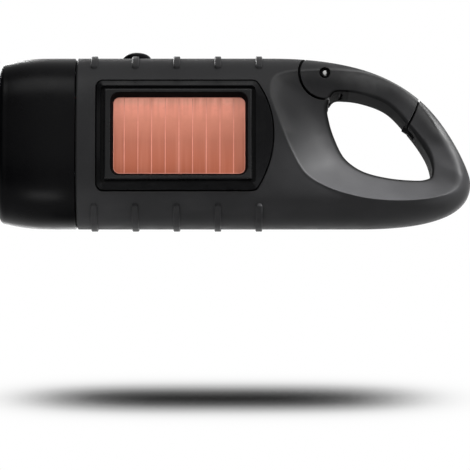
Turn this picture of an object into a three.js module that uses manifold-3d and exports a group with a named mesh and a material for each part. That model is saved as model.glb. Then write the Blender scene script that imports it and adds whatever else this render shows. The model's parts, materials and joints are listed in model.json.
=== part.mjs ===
// Hand crank flashlight with a solar panel on its side and a carabiner tail.
// Millimetres, +Z up. The light lies on its long edge: x runs from the front rim of the
// head to the tail, -y is the side of the solar panel, +y the side of the crank.
// All places below are measured from the middle of the head's front rim. The group at
// the end moves the whole light so that it stands on the ribs' feet at z = 0.

import * as THREE from 'three';
import { mergeVertices } from 'three/addons/utils/BufferGeometryUtils.js';
import Module from 'manifold-3d';

const wasm = await Module();
wasm.setup();

// Overall sizes
const bodyLength = 136;
const bodyHalfHeight = 24.6;
const bodyHalfDepth = 19;
const sectionPowerShare = 2.5;
const wall = 2;
const fitGap = 0.3;
const seamGap = 0.3;
const cutOverrun = 6;
const neckWeb = 1.1;

// Places and lengths along the light, as shares of its length
const alongShares = {
  headLength: 0.161029, headFlareLength: 0.102941, cupDepth: 0.072794, topFlankEnd: 0.575735,
  topFirstHandle: 0.153676, shoulderX: 0.919118, shoulderFirstHandle: 0.1125,
  shoulderLastHandle: 0.066176, bottomFlankEnd: 0.764706, bottomFirstHandle: 0.144853,
  fanStart: 0.772059, ribFirst: 0.202206, ribPitch: 0.087132, frameLeft: 0.208824,
  frameRight: 0.543382, rimLeft: 0.228676, rimRight: 0.536029, hollowEnd: 0.580882,
  eyeCentreX: 0.801471, gatePivotX: 0.689706, gateReach: 0.205882, crankX: 0.463235,
  armReach: 0.283088, batteryStartX: 0.422794, boardStartX: 0.231618, boardEndX: 0.400735,
  buttonX: 0.290441, solarLeadX: 0.279412, cellLength: 0.039706,
};
// Places and sizes across it, as shares of its half height
const upShares = {
  shoulderZ: 0.353659, tipDrop: 0.487805, topLastHandle: 0.134146, bottomLastHandle: 0.365854,
  cupPitch: 0.569106, cupMouthRadius: 0.260163, ribTopStart: 0.825203, ribBottomStart: 0.691057,
  frameHalfHeight: 0.642276, rimHalfHeight: 0.520325, gatePivotZ: 0.772358, batteryZ: 0.447154,
  lampLeadZ: 0.528455, solarLeadZ: 0.365854, boardLow: 0.634146,
  buttonFlangeLow: 0.845528, batteryLeadTop: 0.819106,
};
// Gear modules and the dynamo, as shares of the room that the train has
const trainShares = {
  driveModule: 0.03252, firstWheelModule: 0.028455, secondWheelModule: 0.02439,
  dynamoRadius: 0.325203, rotorRadius: 0.178862, plateRim: 0.089431, plateRimWide: 0.138211,
};
const trainRoomShare = 0.180882;
const sizesOf = (shares, whole) => Object.fromEntries(
  Object.entries(shares).map(([name, share]) => [name, share * whole]));
const {
  headLength, headFlareLength, cupDepth, topFlankEnd, topFirstHandle, shoulderX,
  shoulderFirstHandle, shoulderLastHandle, bottomFlankEnd, bottomFirstHandle, fanStart, ribFirst,
  ribPitch, frameLeft, frameRight, rimLeft, rimRight, hollowEnd, eyeCentreX, gatePivotX,
  gateReach, crankX, armReach, batteryStartX, boardStartX, boardEndX, buttonX, solarLeadX,
  cellLength,
} = sizesOf(alongShares, bodyLength);
const {
  shoulderZ, tipDrop, topLastHandle, bottomLastHandle, cupPitch, cupMouthRadius, ribTopStart,
  ribBottomStart, frameHalfHeight, rimHalfHeight, gatePivotZ, batteryZ, lampLeadZ, solarLeadZ,
  boardLow, buttonFlangeLow, batteryLeadTop,
} = sizesOf(upShares, bodyHalfHeight);
const {
  driveModule, firstWheelModule, secondWheelModule, dynamoRadius, rotorRadius, plateRim,
  plateRimWide,
} = sizesOf(trainShares, Math.min(bodyHalfHeight, bodyLength * trainRoomShare));

// Tail outline: the straight flanks end at their shares and round to the tip
const shoulderAngle = -48.7;

// Head
const headGroove = 0.5;
const grooveChamfer = 0.4;
const rimRound = 2;
const rimInset = 1.4;
const headWall = 2.2;
const lipLength = 2.4;
const lipWidth = 2;
const neckOverlap = 3.1;
const neckWall = 1.6;

// Lamp pieces inside the head, front to back
const lensThickness = 1.8;
const gasketThickness = 1;
const gasketWidth = 1.6;
const flangeThickness = 1.5;
const cupWall = 0.9;
const cupThroatShare = 0.453125;
const cupCurveShares = [[0, 1], [0.3, 0.93], [0.6, 0.78], [0.8, 0.62], [1, cupThroatShare]];
const cupCount = 3;
const ledBoardThickness = 1.6;
const ledSideGap = 0.4;
const ledLength = 5.6;
const ledSeatGap = 0.1;

// Grip ribs round the body, five on the top and five on the bottom
const ribCount = 5;
const ribWidth = 1.7;
const ribHeight = 0.6;
const footHalfWidth = 5;

// Solar panel and its frame on the front side
const frameTabLength = 5;
const frameCorner = 1.8;
const frameBevel = 1.7;
const framePlane = 19.2;
const frameEdgeShow = 0.3;
const rimPlane = 20.4;
const rimCorner = 2.2;
const rimGrooveWidth = 0.9;
const rimGrooveDepth = 0.7;
const windowWall = 1.9;
const windowEnd = 1.5;
const windowSideWall = 1.1;
const windowSlope = 0.45;
const windowSlopeHigh = 0.9;
const cellPlane = 16.6;
const cellThickness = 2.3;
const cellLap = 0.9;
const pocketFloor = 13.9;
const pocketWall = 1.7;

// Carabiner eye and the dish around it
const loopHalfDepth = 9.5;
const dishPowerShare = 1.45;
const dishSteps = 4;
const dishPoints = 40;
// Shares of the body's length and half height, chosen by hand along the eye's edge
const eyeEdgeShares = [
  [0.6935, 0.39], [0.697, 0.19], [0.7096, -0.016], [0.728, -0.223], [0.75, -0.344],
  [0.775, -0.43], [0.821, -0.504], [0.868, -0.537], [0.899, -0.533], [0.9125, -0.49],
  [0.9145, -0.4], [0.908, -0.23], [0.89, -0.038], [0.865, 0.16], [0.8214, 0.417],
  [0.775, 0.53], [0.735, 0.572], [0.71, 0.56],
];
// The crest where the dish meets the outer skin, the same way round
const crestShares = [
  [0.5755, 0.5], [0.5912, 0.217], [0.6235, -0.224], [0.6507, -0.459], [0.6978, -0.61],
  [0.7765, -0.724], [0.853, -0.748], [0.917, -0.711], [0.9574, -0.634], [0.9743, -0.549],
  [0.9787, -0.37], [0.9618, -0.134], [0.936, 0.069], [0.8912, 0.415], [0.8515, 0.614],
  [0.7912, 0.756], [0.7338, 0.793], [0.6507, 0.78], [0.6066, 0.756], [0.583, 0.685],
];

// Gate of the carabiner and its hinge
const gateRootRadius = 7;
const gateGap = 0.45;
const gateLowAngle = -47;
const gateHighAngle = 80;
const lugHalfDepth = 5.2;
const lugRadius = 6.5;
const lugLowAngle = 140;
const lugHighAngle = 268;
const gatePinRadius = 1;
const gatePinClearance = 0.3;
const pinRecessRadius = 1.6;
const pinHalfLength = 8.7;
const tongueHalfDepth = 2.5;
const tongueLength = 2.6;
const tongueLowAngle = -30;
const tongueHighAngle = -21.5;
const slotOpenAngle = 12;
const slotAngleGap = 0.9;
const gateLowRelief = 6;
const springInnerRadius = 1.4;
const springOuterRadius = 2.4;
const springHalfLength = 1.7;
const springPocketGap = 0.4;

// Crank on the back side
const deckPlane = 11;
const sweepGap = 0.8;
const armHalfWidth = 7.5;
const armHubRadius = 8;
const armStart = 11.6;
const armEnd = 18.4;
const shaftRadius = 3;
const shaftHeadRadius = 4.2;
const shaftHeadThickness = 1.3;
const shaftGrip = 3.1;
const bushingWall = 1.3;
const crankScrewHeadRadius = 3.6;
const crankScrewHeadThickness = 1.8;
const crankScrewRadius = 1.2;
const crankScrewLength = 8;
const screwClearance = 0.15;

// Folding knob in the crank arm
const knobAxisY = 16.2;
const knobPinInset = 5;
const knobPinRadius = 0.9;
const knobPinHalfLength = 6.9;
const knobRadius = 4.2;
const knobStart = 2.9;
const knobEnd = 17.5;
const knobRound = 0.8;
const slotSideGap = 0.5;
const slotEndGap = 0.6;
const spindleRadius = 1.4;
const spindleEyeRadius = 1.9;
const spindleEyeHalfWidth = 3.2;
const spindleHeadRadius = 2.4;
const spindleHeadThickness = 1.4;
const spindleHeadInset = 0.5;

// Gear train: teeth, module and the layer of each wheel from lowY to highY
const driveTeeth = 44;
const firstPinionTeeth = 11;
const firstWheelTeeth = 36;
const secondPinionTeeth = 10;
const secondWheelTeeth = 30;
const rotorPinionTeeth = 10;
const driveLow = 5.6;
const driveHigh = 8.4;
const firstPinionLow = 4.6;
const firstWheelLow = 2.2;
const secondPinionLow = 1.2;
const secondPinionHigh = 4.6;
const secondWheelLow = -1;
const rotorPinionLow = -1.2;
const rotorPinionHigh = 1.4;
const toothTipShare = 0.8;
const toothRootShare = 1.25;
const toothFootWidthShare = 0.34;
const toothTipWidthShare = 0.13;
const idlerPinRadius = 1;
const idlerBoreGap = 0.3;
const secondShaftAngle = -30.1;
const thirdShaftAngle = -172.3;

// Gear plate with its posts, and the dynamo
const plateTop = -1.6;
const plateThickness = 1.6;
const postRadius = 2.2;
// Shares of the first wheel's radius, from the first idler's axis
const postPlaceShares = [[-0.952, 0.913], [-0.794, -1.032], [0.635, -1.571]];
const plateScrewRadius = 0.9;
const plateScrewHeadRadius = 1.7;
const plateScrewHeadThickness = 1.2;
const plateScrewLength = 6;
const dynamoLength = 7.4;
const dynamoWall = 0.8;
const coilWidth = 1.6;
const coilLength = 4.6;
const rotorShaftRadius = 0.8;

// Battery pack and its cradle
const cellRadius = 7.75;
const cellCount = 3;
const batteryY = -3.4;
const cradleWall = 1;
const cradleTop = -5.5;
const cradleHalfHeight = 8.6;

// Circuit board, switch and button
const boardThickness = 1.6;
const boardFront = -11;
const boardBack = 5;
const shelfWidth = 3;
const shelfInset = 2;
const shelfReach = 5;
const shelfThickness = 2;
const buttonRadius = 4.4;
const buttonRise = 2.6;
const buttonFlangeRadius = 5.4;
const buttonFlangeThickness = 0.9;
const switchSize = 6;
const switchHeight = 1.7;
const plungerRadius = 1.7;
const plungerHeight = 0.6;
const switchSeatGap = 0.1;

// Screws that hold the two shells together, as shares of the body's length and half height
const housingScrewShares = [
  [0.1985, 0.752], [0.1985, -0.752], [0.592, 0.72], [0.592, -0.72], [0.86, -0.755],
];
const housingScrewRadius = 1.1;
const housingScrewHeadRadius = 2.1;
const housingScrewHeadThickness = 1.5;
const housingScrewLength = 13;
const housingScrewSink = 0.7;
const bossRadius = 3.1;
const bossFloor = 12;
const rootDepth = 1;
const tailScrewY = 7.4;

// Leads inside the body, in pairs a pitch apart
const leadRadius = 0.5;
const leadEndGap = 1;
const leadPitch = 2.6;
const leadSides = 6;
const leadSteps = 8;
const leadHoleGap = 0.35;
const lampLeadY = -6;
const solarLeadBend = 2;
const dynamoLeadY = -7.5;
const batteryLeadY = -2;
const batteryLeadGap = 0.112;

// Where the pieces follow from the sizes above
const bodyStart = headLength + headGroove;
const sweepRadius = armReach + sweepGap;
const batteryLeadZ = bodyHalfHeight * housingScrewShares[2][1] - bossRadius - leadRadius
  - batteryLeadGap;
const cupThroatRadius = cupMouthRadius * cupThroatShare;
const ledRadius = cupThroatRadius - ledSideGap;
const frontReach = rimPlane;
const backReach = knobAxisY + knobRadius;
const knobPinX = crankX - armReach + knobPinInset;
const lensStart = lipLength + fitGap;
const gasketStart = lensStart + lensThickness + fitGap;
const reflectorStart = gasketStart + gasketThickness + fitGap;
const ledBoardStart = reflectorStart + cupDepth + fitGap;
const neckStart = ledBoardStart + ledBoardThickness + fitGap;

const degrees = (value) => THREE.MathUtils.degToRad(value);

// Gear radii and shaft places in the plane of x and z
const driveRadius = driveTeeth * driveModule / 2;
const firstPinionRadius = firstPinionTeeth * driveModule / 2;
const firstWheelRadius = firstWheelTeeth * firstWheelModule / 2;
const secondPinionRadius = secondPinionTeeth * firstWheelModule / 2;
const secondWheelRadius = secondWheelTeeth * secondWheelModule / 2;
const rotorPinionRadius = rotorPinionTeeth * secondWheelModule / 2;

const polar = (origin, radius, angle) => new THREE.Vector2(
  origin.x + radius * Math.cos(degrees(angle)),
  origin.y + radius * Math.sin(degrees(angle)),
);
const crankCentre = new THREE.Vector2(crankX, 0);
const firstCentre = new THREE.Vector2(crankX - driveRadius - firstPinionRadius, 0);
const secondCentre = polar(firstCentre, firstWheelRadius + secondPinionRadius, secondShaftAngle);
const rotorCentre = polar(secondCentre, secondWheelRadius + rotorPinionRadius, thirdShaftAngle);
const gatePivot = new THREE.Vector2(gatePivotX, gatePivotZ);
const crankScrewTop = armEnd - fitGap;

// Step counts of round shapes, and the distance at which points are one
const finePoints = 28;
const roundPoints = 20;
const smallPoints = 12;
const profileSamples = 60;
const closedSamples = 240;
const sweepPoints = 56;
const fanSteps = 10;
const flankSteps = 7;
const domeSteps = 4;
const cornerSteps = 4;
const weldDistance = 1e-4;
const quarterTurn = 90;
const halfTurn = 180;
const fullTurn = 360;

// Makes a solid from the points of a three.js geometry, with its faces pointing out
function toSolid(geometry) {
  const bare = new THREE.BufferGeometry();
  bare.setAttribute('position', geometry.getAttribute('position').clone());
  if (geometry.index) bare.setIndex(geometry.index.clone());
  const merged = mergeVertices(bare, weldDistance);
  const points = merged.getAttribute('position').array;
  const corners = [];
  let volume = 0;
  const a = new THREE.Vector3();
  const b = new THREE.Vector3();
  const c = new THREE.Vector3();
  for (let i = 0; i < merged.index.count; i += 3) {
    const [p, q, r] = [merged.index.getX(i), merged.index.getX(i + 1), merged.index.getX(i + 2)];
    if (p === q || q === r || r === p) continue;
    corners.push(p, q, r);
    a.fromArray(points, 3 * p);
    b.fromArray(points, 3 * q);
    c.fromArray(points, 3 * r);
    volume += a.dot(b.cross(c));
  }
  if (volume < 0) corners.reverse();
  return new wasm.Manifold(new wasm.Mesh({
    numProp: 3,
    vertProperties: new Float32Array(points),
    triVerts: new Uint32Array(corners),
  }));
}

function toGeometry(solid) {
  const mesh = solid.getMesh();
  const geometry = new THREE.BufferGeometry();
  geometry.setAttribute('position', new THREE.BufferAttribute(new Float32Array(mesh.vertProperties), 3));
  geometry.setIndex(new THREE.BufferAttribute(new Uint32Array(mesh.triVerts), 1));
  const flat = geometry.toNonIndexed();
  flat.computeVertexNormals();
  return flat;
}

const join = (solids) => solids.reduce((whole, solid) => whole.add(solid));
const cut = (solid, tools) => tools.reduce((rest, tool) => rest.subtract(tool), solid);

// Extrudes an outline in x and z along y, from low to high
function prism(shape, low, high, curveSegments = smallPoints) {
  const geometry = new THREE.ExtrudeGeometry(shape, {
    depth: high - low, bevelEnabled: false, curveSegments,
  });
  geometry.rotateX(degrees(quarterTurn));
  geometry.translate(0, high, 0);
  return toSolid(geometry);
}

const outlineShape = (points) => new THREE.Shape(points);

function cylinderY(centre, radius, low, high, sides = roundPoints) {
  const geometry = new THREE.CylinderGeometry(radius, radius, high - low, sides);
  geometry.translate(centre.x, (low + high) / 2, centre.y);
  return toSolid(geometry);
}

function cylinderX(y, z, radius, low, high, sides = roundPoints) {
  const geometry = new THREE.CylinderGeometry(radius, radius, high - low, sides);
  geometry.rotateZ(degrees(quarterTurn));
  geometry.translate((low + high) / 2, y, z);
  return toSolid(geometry);
}

function cylinderZ(x, y, radius, low, high, sides = roundPoints) {
  const geometry = new THREE.CylinderGeometry(radius, radius, high - low, sides);
  geometry.rotateX(degrees(quarterTurn));
  geometry.translate(x, y, (low + high) / 2);
  return toSolid(geometry);
}

function box(lowX, highX, lowY, highY, lowZ, highZ) {
  const geometry = new THREE.BoxGeometry(highX - lowX, highY - lowY, highZ - lowZ);
  geometry.translate((lowX + highX) / 2, (lowY + highY) / 2, (lowZ + highZ) / 2);
  return toSolid(geometry);
}

// Turns a profile of [radius, height] points round the z axis
function lathe(profile, sides = roundPoints) {
  const geometry = new THREE.LatheGeometry(
    profile.map(([radius, height]) => new THREE.Vector2(radius, height)), sides);
  geometry.rotateX(degrees(quarterTurn));
  return geometry;
}

// Skins a list of rings of equal count and closes both ends with a fan
function loft(rings, closeEnds = true) {
  const count = rings[0].length;
  const positions = [];
  const index = [];
  for (const ring of rings) for (const point of ring) positions.push(point.x, point.y, point.z);
  for (let i = 0; i + 1 < rings.length; i += 1) {
    for (let j = 0; j < count; j += 1) {
      const here = i * count + j;
      const next = i * count + (j + 1) % count;
      index.push(here, next, here + count, next, next + count, here + count);
    }
  }
  const addEnd = (ring, start, turned) => {
    const centre = ring.reduce((sum, point) => sum.add(point), new THREE.Vector3())
      .divideScalar(count);
    positions.push(centre.x, centre.y, centre.z);
    const middle = positions.length / 3 - 1;
    for (let j = 0; j < count; j += 1) {
      const here = start + j;
      const next = start + (j + 1) % count;
      if (turned) index.push(here, next, middle);
      else index.push(next, here, middle);
    }
  };
  addEnd(rings[0], 0, false);
  if (closeEnds) addEnd(rings[rings.length - 1], (rings.length - 1) * count, true);
  const geometry = new THREE.BufferGeometry();
  geometry.setAttribute('position', new THREE.Float32BufferAttribute(positions, 3));
  geometry.setIndex(index);
  return toSolid(geometry);
}

// The section of the grip: a superellipse in y and z, one point per angle from the top
const sectionCurveShare = 2 / sectionPowerShare;
const powerOf = (value) => Math.sign(value) * Math.abs(value) ** sectionCurveShare;

function sectionRing(x, halfDepth, halfHeight, points = finePoints) {
  const ring = [];
  for (let i = 0; i < points; i += 1) {
    const angle = degrees(fullTurn * i / points);
    ring.push(new THREE.Vector3(
      x, halfDepth * powerOf(Math.sin(angle)), halfHeight * powerOf(Math.cos(angle))));
  }
  return ring;
}

// A length of the grip's section between two places, smaller by inset all round
function sectionBar(lowX, highX, inset) {
  return loft([lowX, highX].map(
    (x) => sectionRing(x, bodyHalfDepth - inset, bodyHalfHeight - inset)));
}

// The outline of the body in x and z, seen from the front
const shoulder = new THREE.Vector2(shoulderX, shoulderZ);
const tip = new THREE.Vector2(bodyLength, -tipDrop);
const bezier = (...points) => new THREE.CubicBezierCurve(...points).getPoints(profileSamples);
const topOutline = [
  new THREE.Vector2(bodyStart, bodyHalfHeight),
  ...bezier(
    new THREE.Vector2(topFlankEnd, bodyHalfHeight),
    new THREE.Vector2(topFlankEnd + topFirstHandle, bodyHalfHeight),
    polar(shoulder, -shoulderFirstHandle, shoulderAngle),
    shoulder),
  ...bezier(
    shoulder,
    polar(shoulder, shoulderLastHandle, shoulderAngle),
    new THREE.Vector2(bodyLength, topLastHandle - tipDrop),
    tip),
];
const bottomOutline = [
  new THREE.Vector2(bodyStart, -bodyHalfHeight),
  ...bezier(
    new THREE.Vector2(bottomFlankEnd, -bodyHalfHeight),
    new THREE.Vector2(bottomFlankEnd + bottomFirstHandle, -bodyHalfHeight),
    new THREE.Vector2(bodyLength, -tipDrop - bottomLastHandle),
    tip),
];

// Where a ray from a point leaves a chain of points
function rayHit(origin, direction, chain) {
  let best = null;
  for (let i = 0; i + 1 < chain.length; i += 1) {
    const from = chain[i].clone().sub(origin);
    const side = chain[i + 1].clone().sub(chain[i]);
    const slant = direction.x * side.y - direction.y * side.x;
    if (slant === 0) continue;
    const along = (from.x * side.y - from.y * side.x) / slant;
    const share = (from.x * direction.y - from.y * direction.x) / slant;
    if (along > 0 && share >= -weldDistance && share <= 1 + weldDistance) {
      if (best === null || along > best) best = along;
    }
  }
  return best;
}

const fanCentre = new THREE.Vector2(fanStart, 0);
const fullOutline = [...topOutline, ...bottomOutline.slice().reverse()];

// Half the depth of the body's skin, before the dish is cut, at a place in x and z
function skinDepth(x, z) {
  const place = new THREE.Vector2(x, z);
  const origin = x < fanStart ? new THREE.Vector2(x, 0) : fanCentre;
  const offset = place.clone().sub(origin);
  const distance = offset.length();
  if (distance === 0) return bodyHalfDepth;
  const reach = rayHit(origin, offset.divideScalar(distance), fullOutline);
  const share = Math.min(distance / reach, 1);
  return bodyHalfDepth * (1 - share ** sectionPowerShare) ** (1 / sectionPowerShare);
}

// The body's blank: the grip's section, whose upper and lower halves turn round the
// fan's centre until they meet at the tip
function bodyBlank() {
  const tipAngle = THREE.MathUtils.radToDeg(Math.atan2(-tipDrop, bodyLength - fanStart));
  const stations = [[bodyStart, grooveChamfer], [bodyStart + grooveChamfer, 0], [topFlankEnd, 0]];
  const rings = [];
  const addRing = (x, upAngle, downAngle, inset) => {
    const origin = new THREE.Vector2(x, 0);
    const up = polar(new THREE.Vector2(), 1, upAngle);
    const down = polar(new THREE.Vector2(), 1, downAngle);
    const upReach = rayHit(origin, up, fullOutline) - inset;
    const downReach = rayHit(origin, down, fullOutline) - inset;
    const ring = [];
    for (let i = 0; i < finePoints; i += 1) {
      const angle = degrees(fullTurn * i / finePoints);
      const height = powerOf(Math.cos(angle));
      const way = height >= 0 ? up.clone().multiplyScalar(upReach * height)
        : down.clone().multiplyScalar(-downReach * height);
      const depth = (bodyHalfDepth - inset) * powerOf(Math.sin(angle));
      ring.push(new THREE.Vector3(origin.x + way.x, depth, way.y));
    }
    rings.push(ring);
  };
  for (const [x, inset] of stations) addRing(x, quarterTurn, -quarterTurn, inset);
  for (let i = 1; i <= flankSteps; i += 1) {
    addRing(topFlankEnd + (fanStart - topFlankEnd) * i / flankSteps, quarterTurn, -quarterTurn, 0);
  }
  for (let i = 1; i <= fanSteps; i += 1) {
    const share = i / fanSteps;
    addRing(fanStart, quarterTurn + (tipAngle - quarterTurn) * share,
      -quarterTurn + (tipAngle + quarterTurn) * share, 0);
  }
  return loft(rings, false);
}

// Spline round a closed table of shares of the body's length and half height
function sharesCurve(shares) {
  const points = shares.map(([along, up]) => new THREE.Vector3(
    along * bodyLength, up * bodyHalfHeight, 0));
  const curve = new THREE.CatmullRomCurve3(points, true, 'centripetal');
  return curve.getPoints(closedSamples).map((point) => new THREE.Vector2(point.x, point.y));
}

const eyeEdge = sharesCurve(eyeEdgeShares);
const crestEdge = sharesCurve(crestShares);
const eyeCentre = new THREE.Vector2(eyeCentreX, 0);

// The same count of places on the eye's edge and on the crest, by angle round the eye
const dishRays = Array.from({ length: dishPoints }, (_, i) => {
  const way = polar(new THREE.Vector2(), 1, fullTurn * i / dishPoints);
  return {
    eye: eyeCentre.clone().addScaledVector(way, rayHit(eyeCentre, way, eyeEdge)),
    crest: eyeCentre.clone().addScaledVector(way, rayHit(eyeCentre, way, crestEdge)),
  };
});

// The dish that runs from the crest down to the eye; side is -1 at the front, 1 at the back
function dishTool(side) {
  const overDepth = bodyHalfDepth + cutOverrun;
  const rings = [];
  for (let step = 0; step <= dishSteps; step += 1) {
    const share = step / dishSteps;
    rings.push(dishRays.map(({ eye, crest }) => {
      const crestDepth = Math.max(skinDepth(crest.x, crest.y), loopHalfDepth);
      const place = eye.clone().lerp(crest, share);
      const depth = loopHalfDepth + (crestDepth - loopHalfDepth) * share ** dishPowerShare;
      return new THREE.Vector3(place.x, side * depth, place.y);
    }));
  }
  rings.push(dishRays.map(({ crest }) => new THREE.Vector3(crest.x, side * overDepth, crest.y)));
  return loft(rings);
}

const eyeTool = prism(
  outlineShape(dishRays.map(({ eye }) => eye)),
  -bodyHalfDepth - cutOverrun, bodyHalfDepth + cutOverrun);

// Outlines round the gate's pivot, from one angle to another between two radii
function sectorShape(innerRadius, outerRadius, lowAngle, highAngle, steps = roundPoints) {
  const points = [];
  for (let i = 0; i <= steps; i += 1) {
    points.push(polar(gatePivot, outerRadius, lowAngle + (highAngle - lowAngle) * i / steps));
  }
  if (innerRadius === 0) points.push(gatePivot.clone());
  else {
    for (let i = steps; i >= 0; i -= 1) {
      points.push(polar(gatePivot, innerRadius, lowAngle + (highAngle - lowAngle) * i / steps));
    }
  }
  return outlineShape(points);
}

const carvedBlank = cut(bodyBlank(), [dishTool(-1), dishTool(1), eyeTool]);
const throughDepth = bodyHalfDepth + cutOverrun;

// Solid of the gate's outline, larger by gap all round, from front to back
function gateOutline(gap, lowAngle) {
  return join([
    cylinderY(gatePivot, gateRootRadius + gap, -throughDepth, throughDepth, finePoints),
    prism(sectorShape(0, gateReach + gap, lowAngle, gateHighAngle), -throughDepth, throughDepth),
  ]);
}

// The lug in the middle of the hinge, and the web that joins it to the body
function lugCore() {
  return join([
    cylinderY(gatePivot, lugRadius, -lugHalfDepth, lugHalfDepth, finePoints),
    prism(sectorShape(0, gateRootRadius + gateGap + fitGap, lugLowAngle, lugHighAngle),
      -lugHalfDepth, lugHalfDepth),
  ]);
}

const tongueOutline = (lowGap, highGap, depthGap) => prism(
  sectorShape(gateReach - gateGap, gateReach + tongueLength + depthGap,
    tongueLowAngle - lowGap, tongueHighAngle + highGap),
  -tongueHalfDepth - depthGap, tongueHalfDepth + depthGap);

// Space for the whole gate and its tongue, and for the pin and spring in the lug
const gateRelief = join([
  gateOutline(gateGap, gateLowAngle - gateLowRelief).subtract(lugCore()),
  tongueOutline(slotOpenAngle, slotAngleGap, fitGap + seamGap),
]);
const gatePinHole = join([
  cylinderY(gatePivot, gatePinRadius + gatePinClearance, -throughDepth, throughDepth),
  cylinderY(gatePivot, springOuterRadius + springPocketGap,
    -springHalfLength - fitGap, springHalfLength + fitGap),
]);

// Ribs round the grip, with level feet below
function gripRibs() {
  const bars = [];
  for (let i = 0; i < ribCount; i += 1) {
    const low = ribFirst + ribPitch * i - ribWidth / 2;
    const high = low + ribWidth;
    const reach = bodyHalfHeight + ribHeight;
    const around = sectionBar(low, high, -ribHeight);
    const foot = box(low, high, -footHalfWidth, footHalfWidth, -reach, wall - bodyHalfHeight);
    bars.push(around.subtract(
      box(low - cutOverrun, high + cutOverrun, -throughDepth, throughDepth,
        -ribBottomStart, ribTopStart)).add(foot));
  }
  return join(bars);
}

// Outline of the panel's frame: square at the head's end, a bow at the tail's end
function frameOutline(grow, points = roundPoints) {
  const half = frameHalfHeight + grow;
  const left = frameLeft - grow;
  const corner = frameCorner + grow;
  const chord = frameRight;
  const bowRadius = (frameHalfHeight ** 2 + frameTabLength ** 2) / (2 * frameTabLength);
  const bowCentre = chord + frameTabLength - bowRadius;
  const bowAngle = Math.asin(half / (bowRadius + grow));
  const outline = [];
  for (let i = 0; i <= points; i += 1) {
    const angle = bowAngle * (2 * i / points - 1);
    outline.push(new THREE.Vector2(
      bowCentre + (bowRadius + grow) * Math.cos(angle), (bowRadius + grow) * Math.sin(angle)));
  }
  for (let i = 0; i <= smallPoints / 2; i += 1) {
    outline.push(polar(new THREE.Vector2(left + corner, half - corner), corner,
      quarterTurn + halfTurn * i / smallPoints));
  }
  for (let i = 0; i <= smallPoints / 2; i += 1) {
    outline.push(polar(new THREE.Vector2(left + corner, corner - half), corner,
      halfTurn + halfTurn * i / smallPoints));
  }
  return outline;
}

function roundedOutline(left, right, halfHeight, corner) {
  const outline = [];
  const corners = [[right - corner, halfHeight - corner], [left + corner, halfHeight - corner],
    [left + corner, corner - halfHeight], [right - corner, corner - halfHeight]];
  corners.forEach(([x, z], turns) => {
    for (let i = 0; i <= cornerSteps; i += 1) {
      outline.push(polar(new THREE.Vector2(x, z), corner, quarterTurn * (turns + i / cornerSteps)));
    }
  });
  return outline;
}

const atDepth = (outline, depth) => outline.map(
  (point) => new THREE.Vector3(point.x, -depth, point.y));

// Frame of the solar panel, bevelled down to the skin, with a raised rim and a window
function panelFrame() {
  const edge = frameOutline(0);
  const top = frameOutline(-frameBevel);
  const plate = loft([
    atDepth(edge, pocketFloor + fitGap),
    edge.map(({ x, y }) => new THREE.Vector3(
      x, -Math.min(skinDepth(x, y) + frameEdgeShow, framePlane - frameEdgeShow), y)),
    atDepth(top, framePlane),
  ]);
  const rim = prism(outlineShape(roundedOutline(rimLeft, rimRight, rimHalfHeight, rimCorner)),
    -rimPlane, -framePlane + rimGrooveDepth);
  const groove = prism(
    outlineShape(roundedOutline(rimLeft - rimGrooveWidth, rimRight + rimGrooveWidth,
      rimHalfHeight + rimGrooveWidth, rimCorner + rimGrooveWidth)),
    -throughDepth, -framePlane + rimGrooveDepth).subtract(rim);
  const mouth = roundedOutline(rimLeft + windowWall, rimRight - windowEnd,
    rimHalfHeight - windowSideWall, rimCorner);
  const throat = roundedOutline(rimLeft + windowWall + windowSlope,
    rimRight - windowEnd - windowSlope, rimHalfHeight - windowSideWall - windowSlopeHigh, rimCorner);
  const window = loft([atDepth(throat, pocketFloor), atDepth(throat, cellPlane),
    atDepth(mouth, rimPlane), atDepth(mouth, throughDepth)]);
  const seat = prism(outlineShape(cellOutline(fitGap)), -cellPlane - fitGap, -pocketFloor);
  return cut(plate.add(rim), [groove, window, seat]);
}

function cellOutline(grow) {
  return roundedOutline(
    rimLeft + windowWall + windowSlope - cellLap - grow,
    rimRight - windowEnd - windowSlope + cellLap + grow,
    rimHalfHeight - windowSideWall - windowSlopeHigh + cellLap + grow, frameCorner);
}

const solarCell = () => prism(outlineShape(cellOutline(0)), -cellPlane, -cellPlane + cellThickness);

// Head: a flared tube with a rounded front rim and a lip that holds the lens
function headBezel() {
  const ring = (x, inset) => sectionRing(x, bodyHalfDepth - inset, bodyHalfHeight - inset);
  const rings = [];
  for (let i = 0; i <= domeSteps; i += 1) {
    const angle = degrees(quarterTurn * i / domeSteps);
    rings.push(ring(rimRound * (1 - Math.cos(angle)), rimInset + rimRound * (1 - Math.sin(angle))));
  }
  rings.push(ring(headFlareLength, 0));
  rings.push(ring(headLength - grooveChamfer, 0));
  rings.push(ring(headLength, grooveChamfer));
  return cut(loft(rings), [
    sectionBar(-cutOverrun, headLength + cutOverrun, headWall + lipWidth),
    sectionBar(lipLength, headLength + cutOverrun, headWall),
  ]);
}

const lens = () => sectionBar(lensStart, lensStart + lensThickness, headWall + fitGap);

const lensGasket = () => sectionBar(gasketStart, gasketStart + gasketThickness, headWall + fitGap)
  .subtract(sectionBar(gasketStart - cutOverrun, gasketStart + cutOverrun,
    headWall + fitGap + gasketWidth));

const cupPlaces = Array.from({ length: cupCount }, (_, i) => cupPitch * (i - (cupCount - 1) / 2));

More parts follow.
